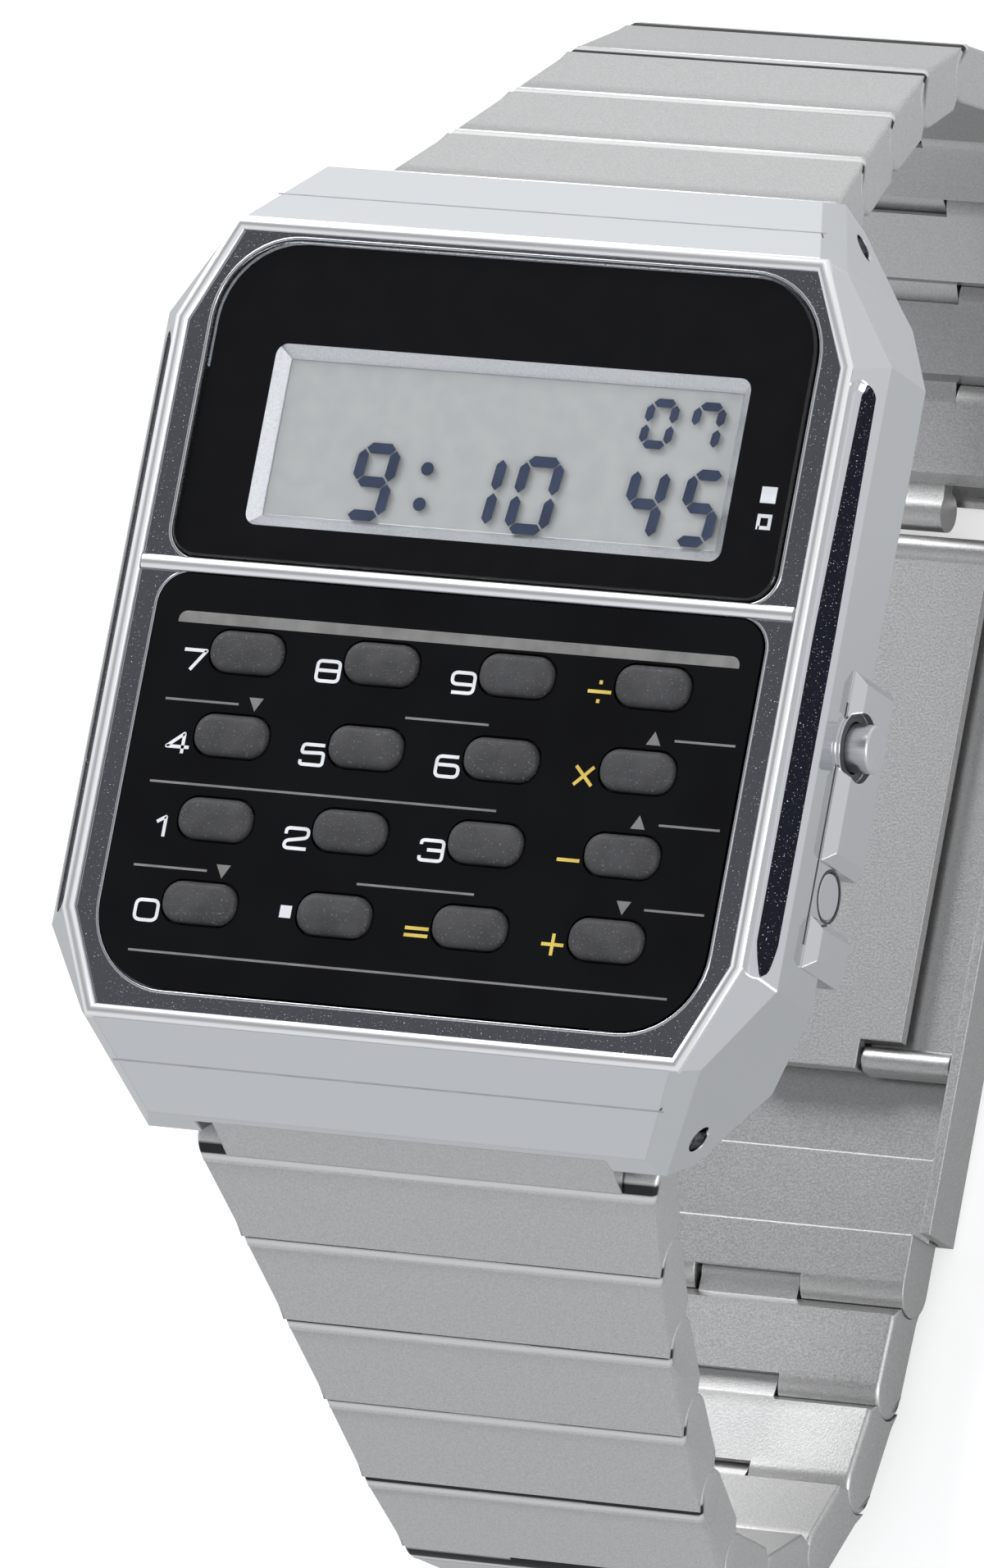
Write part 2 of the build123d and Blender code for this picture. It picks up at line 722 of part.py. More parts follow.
def side_plane(pivot, angle, side):
    """The plane of a link's side: x along the link from its near pivot, y out of the bracelet."""
    a = radians(angle)
    return Plane(
        origin=(0, pivot[0], pivot[1]),
        x_dir=(0, side * cos(a), -sin(a)),
        z_dir=(side, 0, 0),
    )


def top_plane(pivot, angle, side):
    """The plane of a link's flat: x along the link, the normal out of the bracelet."""
    a = radians(angle)
    return Plane(
        origin=(0, pivot[0], pivot[1]),
        x_dir=(0, side * cos(a), -sin(a)),
        z_dir=(0, side * sin(a), cos(a)),
    )


def link_profile(pitch):
    """Side outline of a folded link: a round nose at the near pivot, a socket round the far one."""
    lip_out = sqrt(socket_radius**2 - outer_lip**2)
    lip_in = sqrt(socket_radius**2 - inner_lip**2)
    with BuildLine() as outline:
        Line((0, half_thickness), (pitch - outer_lip, half_thickness))
        Line((pitch - outer_lip, half_thickness), (pitch - outer_lip, lip_out))
        ThreePointArc(
            (pitch - outer_lip, lip_out),
            (pitch - socket_radius, 0),
            (pitch - inner_lip, -lip_in),
        )
        Line((pitch - inner_lip, -lip_in), (pitch - inner_lip - inner_chamfer, -half_thickness))
        Line((pitch - inner_lip - inner_chamfer, -half_thickness), (0, -half_thickness))
        ThreePointArc((0, -half_thickness), (-half_thickness, 0), (0, half_thickness))
    make_face(outline.edges())


def nose_slot():
    """The hollow of a link's nose: room for the neighbour's eye and neck, under a roof of sheet."""
    Circle(eye_radius + eye_gap)
    low = -half_thickness - slot_gap
    with Locations((low / 2, (roof_drop + low) / 2)):
        Rectangle(-low, roof_drop - low)


def far_tongue(pitch):
    """The tongue of a link, with the eye that turns on the neighbour's pin."""
    with Locations((pitch, 0)):
        Circle(eye_radius)
    reach = socket_radius + slot_gap
    with Locations((pitch - reach / 2, (neck_out - neck_in) / 2)):
        Rectangle(reach, neck_out + neck_in)


def make_link(name, pivot, angle, side, pitch, near_half, far_half, on_spring_bar):
    """One folded link from its near pivot to its far one, with its pin or its spring-bar tube."""
    across = side_plane(pivot, angle, side)
    slot_half = tongue_half + slot_gap
    with BuildPart() as link:
        with BuildSketch(across):
            link_profile(pitch)
        extrude(amount=max(near_half, far_half), both=True)
        change = (far_half - near_half) / pitch
        before = near_half - change * 2 * half_thickness
        beyond = far_half + change * 2 * half_thickness
        with BuildSketch(top_plane(pivot, angle, side)):
            Polygon(
                (-2 * half_thickness, -before),
                (pitch + 2 * half_thickness, -beyond),
                (pitch + 2 * half_thickness, beyond),
                (-2 * half_thickness, before),
                align=None,
            )
        extrude(amount=2 * half_thickness, both=True, mode=Mode.INTERSECT)
        with BuildSketch(across):
            far_tongue(pitch)
        extrude(amount=tongue_half, both=True)
        with BuildSketch(across):
            with Locations((pitch, 0)):
                Circle(pin_radius + pin_clearance)
        extrude(amount=tongue_half, both=True, mode=Mode.SUBTRACT)
        if on_spring_bar:
            with BuildSketch(across):
                Circle(bar_bore)
            extrude(amount=near_half, both=True, mode=Mode.SUBTRACT)
        else:
            with BuildSketch(across):
                nose_slot()
            extrude(amount=slot_half, both=True, mode=Mode.SUBTRACT)
            with BuildSketch(across):
                Circle(pin_radius)
            extrude(amount=slot_half + pin_grip, both=True)
    link.part.label = name
    export_step(link.part, f"parts/{name}.step")


for chain_name, joints, angles, side in (
    ("upper", upper_joints, upper_angles + (last_upper_angle,), 1),
    ("lower", lower_joints, lower_angles, -1),
):
    make_link(
        f"{chain_name}_end_link",
        (side * bar_length, dial_z - bar_drop),
        end_link_angle,
        side,
        end_link_pitch,
        end_link_half,
        end_link_half,
        True,
    )
    for k, angle in enumerate(angles):
        make_link(
            f"{chain_name}_link_{k + 1}",
            joints[k],
            angle,
            side,
            link_pitch,
            link_half(k),
            link_half(k + 1),
            False,
        )

# Clasp: an adjuster on the last lower link, a cover that slides on it, and two folding leaves.
channel_half = narrow_half + flange_gap
cover_half_width = channel_half + flange_thickness
adjuster_half = channel_half - adjuster_play
adjust_pivot = lower_joints[-1]
open_pivot = upper_joints[-1]
cover_hinge_y = open_pivot[0] - link_to_hinge
cover_half_length = cover_hinge_y + hinge_inset
cover_hinge_z = floor_thickness + floor_gap / 2 + knuckle_radius
outer_leaf_low = cover_hinge_z - leaf_thickness / 2
inner_leaf_low = outer_leaf_low + leaf_thickness + leaf_gap
fold_hinge_y = adjust_pivot[0] + adjuster_length + adjust_travel + knuckle_radius + 2 * stack_gap
fold_hinge_z = (outer_leaf_low + inner_leaf_low + leaf_thickness) / 2
outer_leaf_half = channel_half - leaf_play
inner_leaf_end = open_pivot[0] - eye_radius - open_pivot_gap - lug_bar_radius
inner_leaf_z = inner_leaf_low + leaf_thickness / 2


def clasp_side(y, z):
    """A plane across the clasp through one of its axes, looking along the axis."""
    return Plane(origin=(0, y, z), x_dir=(0, 1, 0), z_dir=(1, 0, 0))


with BuildPart() as clasp_adjuster:
    with BuildSketch(side_plane(adjust_pivot, 180, -1)):
        with BuildLine():
            Line((0, half_thickness), (adjuster_length, half_thickness))
            Line((adjuster_length, half_thickness), (adjuster_length, half_thickness - adjuster_plate))
            Line(
                (adjuster_length, half_thickness - adjuster_plate),
                (adjuster_block, half_thickness - adjuster_plate),
            )
            Line((adjuster_block, half_thickness - adjuster_plate), (adjuster_block, -half_thickness))
            Line((adjuster_block, -half_thickness), (0, -half_thickness))
            ThreePointArc((0, -half_thickness), (-half_thickness, 0), (0, half_thickness))
        make_face()
    extrude(amount=adjuster_half, both=True)
    with BuildSketch(side_plane(adjust_pivot, 180, -1)):
        nose_slot()
    extrude(amount=tongue_half + slot_gap, both=True, mode=Mode.SUBTRACT)
    with BuildSketch(side_plane(adjust_pivot, 180, -1)):
        Circle(pin_radius)
    extrude(amount=tongue_half + slot_gap + pin_grip, both=True)
clasp_adjuster.part.label = "clasp_adjuster"
export_step(clasp_adjuster.part, "parts/clasp_adjuster.step")

with BuildPart() as clasp_cover:
    with BuildSketch(Plane.XY):
        Rectangle(2 * cover_half_width, 2 * cover_half_length)
    extrude(amount=flange_height)
    chamfer(clasp_cover.faces().sort_by(Axis.Z)[0].edges(), length=cover_edge)
    with BuildSketch(Plane.XY.offset(floor_thickness)):
        Rectangle(2 * channel_half, 2 * (cover_half_length + overrun))
    extrude(amount=flange_height, mode=Mode.SUBTRACT)
    # the floor ends in a notch at the hinge, so that the inner leaf can swing past it
    notch_depth = cover_half_length - cover_hinge_y + knuckle_radius
    with BuildSketch(Plane.XY):
        with Locations((0, cover_half_length)):
            Rectangle(2 * (inner_leaf_half + stack_gap), 2 * notch_depth)
    extrude(amount=floor_thickness, mode=Mode.SUBTRACT)
    with BuildSketch(clasp_side(cover_hinge_y, cover_hinge_z)):
        Circle(knuckle_pin)
    extrude(amount=channel_half + flange_thickness / 2, both=True)
clasp_cover.part.label = "clasp_cover"
export_step(clasp_cover.part, "parts/clasp_cover.step")

outer_leaf_length = cover_hinge_y - fold_hinge_y
with BuildPart() as clasp_outer_leaf:
    with BuildSketch(Plane.XY.offset(outer_leaf_low)):
        with Locations((0, (cover_hinge_y + fold_hinge_y) / 2)):
            Rectangle(2 * outer_leaf_half, outer_leaf_length)
    extrude(amount=leaf_thickness)
    with BuildSketch(clasp_side(cover_hinge_y, cover_hinge_z)):
        Circle(knuckle_radius)
    extrude(amount=outer_leaf_half, both=True)
    with BuildSketch(clasp_side(fold_hinge_y, fold_hinge_z)):
        Circle(knuckle_radius)
        with Locations((0, (outer_leaf_low - fold_hinge_z) / 2)):
            Rectangle(2 * knuckle_radius, fold_hinge_z - outer_leaf_low)
    extrude(amount=outer_leaf_half, both=True)
    # room for the inner leaf's knuckle
    with BuildSketch(Plane.XY.offset(outer_leaf_low - stack_gap)):
        with Locations((0, fold_hinge_y)):
            Rectangle(2 * (inner_knuckle_half + knuckle_play), 2 * (knuckle_radius + stack_gap))
    extrude(amount=2 * (leaf_thickness + leaf_gap + stack_gap), mode=Mode.SUBTRACT)
    with BuildSketch(clasp_side(cover_hinge_y, cover_hinge_z)):
        Circle(knuckle_bore)
    extrude(amount=outer_leaf_half, both=True, mode=Mode.SUBTRACT)
    with BuildSketch(clasp_side(fold_hinge_y, fold_hinge_z)):
        Circle(knuckle_bore)
    extrude(amount=outer_leaf_half, both=True, mode=Mode.SUBTRACT)
clasp_outer_leaf.part.label = "clasp_outer_leaf"
export_step(clasp_outer_leaf.part, "parts/clasp_outer_leaf.step")

inner_leaf_start = fold_hinge_y + knuckle_radius + knuckle_play
with BuildPart() as clasp_inner_leaf:
    with BuildSketch(Plane.XY.offset(inner_leaf_low)):
        with Locations((0, (inner_leaf_start + inner_leaf_end) / 2)):
            Rectangle(2 * inner_leaf_half, inner_leaf_end - inner_leaf_start)
        with Locations((0, (fold_hinge_y + inner_leaf_end) / 2)):
            Rectangle(2 * inner_knuckle_half, inner_leaf_end - fold_hinge_y)
    extrude(amount=leaf_thickness)
    with BuildSketch(clasp_side(inner_leaf_end, inner_leaf_z)):
        Circle(lug_bar_radius)
    extrude(amount=inner_leaf_half, both=True)
    with BuildSketch(clasp_side(fold_hinge_y, fold_hinge_z)):
        Circle(knuckle_radius)
        with Locations((0, (inner_leaf_low + leaf_thickness - fold_hinge_z) / 2)):
            Rectangle(2 * knuckle_radius, inner_leaf_low + leaf_thickness - fold_hinge_z)
    extrude(amount=inner_knuckle_half, both=True)
    with BuildSketch(clasp_side(fold_hinge_y, fold_hinge_z)):
        Circle(knuckle_pin)
    extrude(amount=outer_leaf_half - knuckle_play, both=True)
clasp_inner_leaf.part.label = "clasp_inner_leaf"
export_step(clasp_inner_leaf.part, "parts/clasp_inner_leaf.step")
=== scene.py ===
import bpy
import json
import numpy as np
from math import cos, radians, sin, sqrt
from mathutils import Matrix, Vector


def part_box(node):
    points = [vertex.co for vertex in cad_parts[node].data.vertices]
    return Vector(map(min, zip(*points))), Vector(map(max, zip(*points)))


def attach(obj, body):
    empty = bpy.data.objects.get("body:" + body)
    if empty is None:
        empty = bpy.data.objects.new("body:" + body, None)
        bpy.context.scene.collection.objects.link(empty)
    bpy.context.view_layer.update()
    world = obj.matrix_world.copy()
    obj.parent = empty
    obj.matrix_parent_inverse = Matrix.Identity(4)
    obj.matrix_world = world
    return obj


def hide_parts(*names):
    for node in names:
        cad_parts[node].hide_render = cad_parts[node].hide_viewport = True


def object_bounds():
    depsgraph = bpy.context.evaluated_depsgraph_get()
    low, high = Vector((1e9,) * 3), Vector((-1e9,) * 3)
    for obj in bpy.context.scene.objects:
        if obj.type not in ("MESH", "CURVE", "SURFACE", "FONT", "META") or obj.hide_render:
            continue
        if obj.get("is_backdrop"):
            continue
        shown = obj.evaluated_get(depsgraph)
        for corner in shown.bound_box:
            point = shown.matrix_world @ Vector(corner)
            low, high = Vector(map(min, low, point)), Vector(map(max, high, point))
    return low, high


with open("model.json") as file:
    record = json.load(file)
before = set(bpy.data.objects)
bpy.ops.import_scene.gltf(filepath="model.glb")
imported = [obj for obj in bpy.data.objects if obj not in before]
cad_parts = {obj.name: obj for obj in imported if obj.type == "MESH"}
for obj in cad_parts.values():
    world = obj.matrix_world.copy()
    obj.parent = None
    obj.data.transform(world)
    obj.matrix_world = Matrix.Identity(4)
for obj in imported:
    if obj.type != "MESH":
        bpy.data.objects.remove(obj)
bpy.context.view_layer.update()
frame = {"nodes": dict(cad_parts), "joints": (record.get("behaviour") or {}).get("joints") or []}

# Watch sizes in millimetres. Heights of the head are measured from the top of the front plate.
mm = 0.001
bar_rise = 0.12
dial_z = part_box("front_bezel")[1][2] / mm - bar_rise
case_half_width = 17.2
# a film laid on a face stands this far out of it, and reaches this far into it
film_rise, film_depth = 0.012, 0.05


# Meshes

def mesh_piece(name, points, faces, angle=30):
    """A mesh from points in watch millimetres (n, 3) and faces, smooth below the given edge angle."""
    mesh = bpy.data.meshes.new(name)
    mesh.from_pydata(np.asarray(points, float) * mm, [], faces)
    mesh.update()
    mesh.shade_smooth()
    mesh.set_sharp_from_angle(angle=radians(angle))
    piece = bpy.data.objects.new(name, mesh)
    bpy.context.scene.collection.objects.link(piece)
    return piece


def dressed(piece, material, body, replaced=()):
    """Gives a piece its material and its body, and hides the CAD nodes that it stands for."""
    piece.data.materials.append(material)
    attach(piece, body)
    if replaced:
        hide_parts(*replaced)
    return piece


def grid_faces(rows, columns, first=0, closed_rows=False, closed_columns=True):
    """Quads of a grid of points counted row by row; a closed direction joins its last line to its first."""
    r = np.arange(rows if closed_rows else rows - 1)
    c = np.arange(columns if closed_columns else columns - 1)
    rr, cc = np.meshgrid(r, c, indexing="ij")
    r2, c2 = (rr + 1) % rows, (cc + 1) % columns
    quads = np.stack([rr * columns + cc, rr * columns + c2, r2 * columns + c2, r2 * columns + cc], -1)
    return (quads.reshape(-1, 4) + first).tolist()


def carried(sections):
    """Points and faces of closed outlines (n, m, 3) carried along a path, with a flat cap at each end."""
    n, m = sections.shape[:2]
    faces = grid_faces(n, m)
    faces.append(list(range(m))[::-1])
    faces.append(list(range((n - 1) * m, n * m)))
    return sections.reshape(-1, 3), faces


def outward(points, faces):
    """Turns every face round if the closed shape's signed volume, the sum over its faces, is negative."""
    p = np.asarray(points)
    fans = np.array([(f[0], f[k], f[k + 1]) for f in faces for k in range(1, len(f) - 1)])
    a, b, c = p[fans].transpose(1, 0, 2)
    volume = (a * np.cross(b, c)).sum()
    return faces if volume > 0 else [f[::-1] for f in faces]


def joined(shells):
    """One list of points and one of faces from several closed shells, each turned outwards."""
    points, faces, first = [], [], 0
    for p, f in shells:
        f = outward(p, f)
        points.append(p)
        faces += [[k + first for k in face] for face in f]
        first += len(p)
    return np.concatenate(points), faces


def arc(centre, radius, start, end, count):
    """Points on a circle from one angle to another, in degrees."""
    t = np.radians(np.linspace(start, end, count))
    return np.stack([centre[0] + radius * np.cos(t), centre[1] + radius * np.sin(t)], -1)


def rounded_box(x0, x1, y0, y1, low_radius, high_radius, count=9):
    """Outline of a box whose corners are quarter circles, one radius below and one above."""
    a, b = low_radius, high_radius
    return np.concatenate([
        arc((x1 - a, y0 + a), a, -90, 0, count), arc((x1 - b, y1 - b), b, 0, 90, count),
        arc((x0 + b, y1 - b), b, 90, 180, count), arc((x0 + a, y0 + a), a, 180, 270, count),
    ])


def normals_of(outline):
    """Unit normals of a closed outline that runs anticlockwise, pointing away from it."""
    before, after = np.roll(outline, 1, 0), np.roll(outline, -1, 0)
    step = after - before
    step /= np.linalg.norm(step, axis=1)[:, None]
    return np.stack([step[:, 1], -step[:, 0]], -1)


def rings(outline, offsets, heights):
    """Sections of a raised shape: the outline moved out by each offset at each height."""
    n = normals_of(outline)
    offsets, heights = np.asarray(offsets, float), np.asarray(heights, float)
    flat = outline[None] + offsets[:, None, None] * n[None]
    z = np.broadcast_to(heights[:, None, None], flat.shape[:2] + (1,))
    return np.concatenate([flat, z + dial_z], -1)


def skin(front, back):
    """A thin closed skin between two grids of points (n, m, 3): both sheets, and a wall round the border."""
    n, m = front.shape[:2]
    first = n * m
    faces = grid_faces(n, m, 0, closed_columns=False)
    faces += [face[::-1] for face in grid_faces(n, m, first, closed_columns=False)]
    index = np.arange(n * m).reshape(n, m)
    border = np.concatenate([index[0, :-1], index[:-1, -1], index[-1, :0:-1], index[:0:-1, 0]])
    after = np.roll(border, -1)
    faces += np.stack([after, border, border + first, after + first], -1).tolist()
    return np.concatenate([front.reshape(-1, 3), back.reshape(-1, 3)]), faces


def raised(flat, height):
    """Flat points (x, y) put at one height above the dial."""
    return np.column_stack([flat, np.full(len(flat), height + dial_z)])


def stroke(path, width, low, high):
    """A printed stroke: a rectangle of that width carried along a path, mitred where the path turns."""
    same_point, sharpest_mitre = 1e-6, 0.35
    path = np.asarray(path, float)
    # a corner point given twice has no direction, so only the first is kept
    path = path[np.append(True, np.linalg.norm(np.diff(path, axis=0), axis=1) > same_point)]
    step = np.diff(path, axis=0)
    step /= np.linalg.norm(step, axis=1)[:, None]
    side = np.stack([-step[:, 1], step[:, 0]], -1)
    before = np.concatenate([side[:1], side])
    after = np.concatenate([side, side[-1:]])
    mitre = before + after
    mitre /= np.linalg.norm(mitre, axis=1)[:, None]
    mitre /= np.clip((mitre * before).sum(1), sharpest_mitre, 1)[:, None]
    left, right = path + mitre * width / 2, path - mitre * width / 2
    sections = [raised(left, low), raised(right, low), raised(right, high), raised(left, high)]
    return carried(np.stack(sections, 1))


def turned(path, radius, count=6):
    """A path whose inner corners are rounded: each is replaced by a quadratic curve between two cuts."""
    path = [np.asarray(p, float) for p in path]
    out = [path[0][None]]
    t = np.linspace(0, 1, count)[:, None]
    for a, b, c in zip(path, path[1:], path[2:]):
        cut_a = b + (a - b) * min(0.5, radius / np.linalg.norm(a - b))
        cut_c = b + (c - b) * min(0.5, radius / np.linalg.norm(c - b))
        out.append((1 - t) ** 2 * cut_a + 2 * t * (1 - t) * b + t**2 * cut_c)
    out.append(path[-1][None])
    return np.concatenate(out)


# Materials

# ranges of a noise: where dust and specks begin and are full, and the middles that carry tone and roughness
dust_range, speck_range = (0.70, 0.76), (0.62, 0.72)
tone_range, rough_range = (0.35, 0.65), (0.3, 0.7)
dust_size, dust_roughness = 0.06, 0.6
hairline_spacing, hairline_strength, hairline_depth = 0.06, 0.03, 0.01
grain_depth = 0.02
# a moulding's broad noise is this many grains wide, and its roughness goes this share up and down
broad_grains, rough_swing = 12, 0.1
bevel_samples = 6
# painted highlight colour for the folds of the links, and painted shade colour for their seams
painted_highlight_steel, painted_seam_shade = "#dedede", "#333436"


def linear(hex_colour):
    """A colour written as sRGB hex, turned to the linear values that the shader takes."""
    c = np.array([int(hex_colour[k:k + 2], 16) for k in (1, 3, 5)]) / 255
    c = np.where(c <= 0.04045, c / 12.92, ((c + 0.055) / 1.055) ** 2.4)
    return (*c.tolist(), 1.0)


def add(tree, kind, links=(), **settings):
    """Adds one shader node with its settings; links gives each socket a value or another node's output."""
    node = tree.nodes.new("ShaderNode" + kind)
    for name, value in settings.items():
        setattr(node, name, value)
    for socket, value in dict(links).items():
        if isinstance(value, bpy.types.NodeSocket):
            tree.links.new(value, node.inputs[socket])
        else:
            node.inputs[socket].default_value = value
    return node


def started(name, **values):
    """A new material with one Principled shader wired to its output, and the values that it starts from."""
    material = bpy.data.materials.new(name)
    material.use_nodes = True
    tree = material.node_tree
    tree.nodes.clear()
    shader = add(tree, "BsdfPrincipled", {k.replace("_", " "): v for k, v in values.items()})
    add(tree, "OutputMaterial", {"Surface": shader.outputs["BSDF"]})
    return material, tree, shader


def pattern(tree, spacing, detail=2.0, along=(1, 1, 1)):
    """Noise in object millimetres whose features are spacing apart, stretched by the factors in along."""
    place = add(tree, "TexCoord").outputs["Object"]
    scale = [1 / (spacing * mm * a) for a in along]
    place = add(tree, "Mapping", {"Vector": place, "Scale": scale}).outputs["Vector"]
    return add(tree, "TexNoise", {"Vector": place, "Scale": 1.0, "Detail": detail}).outputs["Fac"]


def spread(tree, value, low, high, to_low, to_high):
    """Maps a pattern from one range to another, held inside the new range."""
    links = {"Value": value, 1: low, 2: high, 3: to_low, 4: to_high}
    return add(tree, "MapRange", links).outputs["Result"]


def blended(tree, value, low, high):
    """One colour turning into another as a value goes from 0 to 1: each four numbers or a node's output."""
    return add(tree, "Mix", {0: value, 6: low, 7: high}, data_type="RGBA").outputs[2]


def relieved(tree, shader, height, strength, depth, edge=0.0):
    """Gives the shader a fine relief, and edges that turn the light within the given millimetres."""
    bump = add(tree, "Bump", {"Height": height, "Strength": strength, "Distance": depth * mm})
    if edge:
        soft = add(tree, "Bevel", {"Radius": edge * mm}, samples=bevel_samples)
        tree.links.new(soft.outputs["Normal"], bump.inputs["Normal"])
    tree.links.new(bump.outputs["Normal"], shader.inputs["Normal"])


def mirror(name, colour, roughness, dust="", hairlines=(1, 1, 1), edge=0.0):
    """Polished metal: an even mirror, faint hairlines in its relief, pale dust where a fine noise peaks, and
    soft edges."""
    material, tree, shader = started(name, Metallic=1.0, Base_Color=linear(colour), Roughness=roughness)
    if dust:
        mask = spread(tree, pattern(tree, dust_size, 1.0), *dust_range, 0.0, 1.0)
        tree.links.new(blended(tree, mask, linear(colour), linear(dust)), shader.inputs["Base Color"])
        dusty = spread(tree, mask, 0.0, 1.0, roughness, dust_roughness)
        tree.links.new(dusty, shader.inputs["Roughness"])
    lines = pattern(tree, hairline_spacing, 2.0, hairlines)
    relieved(tree, shader, lines, hairline_strength, hairline_depth, edge)
    return material


def grained_metal(
    name, dark, light, roughness, grain, along=(1, 1, 1), relief=0.1, edge=0.0, swing=0.06, painted_light=False,
):
    """Metal with a worked skin: colour, roughness and a fine relief follow one noise of the grain's size.
    With painted light, it reads the piece's painted light level: 1 for a painted highlight on a fold, -1 for
    painted shade in a seam."""
    material, tree, shader = started(name, Metallic=1.0)
    fine = pattern(tree, grain, 3.0, along)
    colour = blended(tree, spread(tree, fine, *tone_range, 0.0, 1.0), linear(dark), linear(light))
    if painted_light:
        # painted highlight on the folds and painted shade in the seams, read from each point
        painted_light_level = add(tree, "Attribute", attribute_name="painted_light_level").outputs["Fac"]
        colour = blended(tree, spread(tree, painted_light_level, 0.0, 1.0, 0.0, 1.0), colour, linear(painted_highlight_steel))
        colour = blended(tree, spread(tree, painted_light_level, -1.0, 0.0, 1.0, 0.0), colour, linear(painted_seam_shade))
    tree.links.new(colour, shader.inputs["Base Color"])
    rough = spread(tree, fine, *tone_range, roughness - swing / 2, roughness + swing / 2)
    tree.links.new(rough, shader.inputs["Roughness"])
    relieved(tree, shader, fine, relief, grain_depth, edge)
    return material


# Stainless steel polished on a wheel: a cool even mirror that takes its tone from the room
polished_steel = mirror("polished_stainless_steel", "#ccced1", 0.07, hairlines=(1, 14, 1), edge=0.10)
# Black-chromed brass plate: a smoky mirror with dust that catches the light
smoky_plate = mirror("smoked_chrome_plate", "#b0b1b6", 0.09, dust="#f4f4f4", hairlines=(14, 1, 1))
# Painted dark reflection in the side channels: a nearly black mirror, with the same dust
channel_painted_reflection = mirror("painted_dark_channel_reflection", "#22242d", 0.12, dust="#d8dade")
# Bright chrome trim, lightly satined: it draws even white lines
bright_chrome = mirror("satin_chrome_trim", "#f0f1f2", 0.32)
# The same trim half smoked, on the lips of the windows: a greyer line
grey_chrome = mirror("half_smoked_chrome_trim", "#b4b6b9", 0.24)
# Folded stainless sheet with a bead-blasted skin: matt, even grey with a fine frosty grain, with a painted
# highlight on each fold and painted shade in each seam
blasted_steel_with_painted_light = grained_metal(
    "bead_blasted_steel_with_painted_light", "#bbbbbb", "#cccccc", 0.42, 0.09, relief=0.3, painted_light=True,
)
# The same sheet on pieces whose corners need rounding in the light
blasted_soft = grained_metal(
    "blasted_steel_with_soft_corners", "#bbbbbb", "#cccccc", 0.40, 0.09, relief=0.3, edge=0.12,
)
# Back plate brushed across: long fine lines from side to side
brushed_back = grained_metal(
    "brushed_stainless_back", "#a9abae", "#bfc1c3", 0.30, 0.06, (40, 1, 1), relief=0.25, edge=0.08, swing=0.1,
)
# Turned pushers: bright steel with a soft brushed skin
turned_steel = grained_metal(
    "turned_steel", "#c3c5c9", "#d2d4d7", 0.3, 0.05, (20, 1, 1), relief=0.04, edge=0.05, swing=0.05,
)
# Nickel-plated can of the cell
cell_can = grained_metal("nickel_plated_can", "#c4c4c0", "#d3d3cf", 0.22, 0.2, relief=0.05, edge=0.05)


def moulded(name, dark, light, roughness, grain, relief, speck="", gloss=0.5):
    """A moulded or printed surface: two near tones by a broad noise, a fine relief, and specks where a fine
    noise peaks. A gloss of 0 is for print on the back of a clear sheet, which has no shine of its own."""
    material, tree, shader = started(name, IOR=1.5, Specular_IOR_Level=gloss)
    fine = pattern(tree, grain, 2.0)
    broad = spread(tree, pattern(tree, grain * broad_grains), *tone_range, 0.0, 1.0)
    colour = blended(tree, broad, linear(dark), linear(light))
    if speck:
        colour = blended(tree, spread(tree, fine, *speck_range, 0.0, 1.0), colour, linear(speck))
    tree.links.new(colour, shader.inputs["Base Color"])
    rough = spread(tree, fine, *rough_range, roughness * (1 - rough_swing), roughness * (1 + rough_swing))
    tree.links.new(rough, shader.inputs["Roughness"])
    relieved(tree, shader, fine, relief, grain_depth)
    return material


# Silicone rubber keys, moulded with a spark texture: charcoal with pale specks
key_rubber = moulded("moulded_charcoal_rubber", "#2d2d30", "#39393c", 0.62, 0.10, 0.5, "#626266")
# Acrylic panel printed black on its back: deep black under a clean gloss
gloss_panel = moulded("black_backed_acrylic", "#040405", "#08090a", 0.05, 0.4, 0.01)
# Back printing of the upper window, seen through the clear sheet
black_print = moulded("black_screen_print", "#0a0a0b", "#0d0d0e", 0.6, 0.1, 0.05, gloss=0.0)
# Screen-printed inks
white_ink = moulded("white_screen_ink", "#d4d6da", "#e4e6ea", 0.5, 0.08, 0.1)
grey_ink = moulded("grey_screen_ink", "#6c6c6a", "#7b7b79", 0.5, 0.08, 0.1)
gold_ink = moulded("gold_screen_ink", "#c6ab45", "#d9bf58", 0.45, 0.08, 0.1)
# Liquid crystal: dark navy segments on a pale grey reflector
crystal_ink = moulded("liquid_crystal_segments", "#232f49", "#2f3c58", 0.4, 0.1, 0.0)
reflector = moulded("grey_lcd_reflector", "#c8c7c4", "#cfceca", 0.5, 0.08, 0.05)
# Silver-painted moulding round the display
silver_frame = grained_metal("silver_painted_frame", "#dcdde0", "#e9eaec", 0.32, 0.1, relief=0.05)
# Inside the case: the grey sheet under the keys, the black carrier, the board and the seal
membrane = moulded("grey_silicone_sheet", "#5a5a5c", "#69696b", 0.6, 0.15, 0.2)
black_moulding = moulded("black_abs_moulding", "#17181a", "#202124", 0.45, 0.2, 0.2)
board_green = moulded("green_solder_mask", "#123f26", "#1b5433", 0.35, 0.5, 0.1, "#2f6b45")
seal_rubber = moulded("black_nitrile_seal", "#121213", "#1a1a1b", 0.55, 0.2, 0.2)
# Lines of the case: a faint parting line, and painted shade for narrow gaps, creases and recesses
faint_seam = moulded("faint_parting_line", "#96989d", "#a2a4a9", 0.5, 0.1, 0.0)
painted_shade_film = moulded("painted_shade_film", "#26272b", "#2f3035", 0.4, 0.1, 0.0)


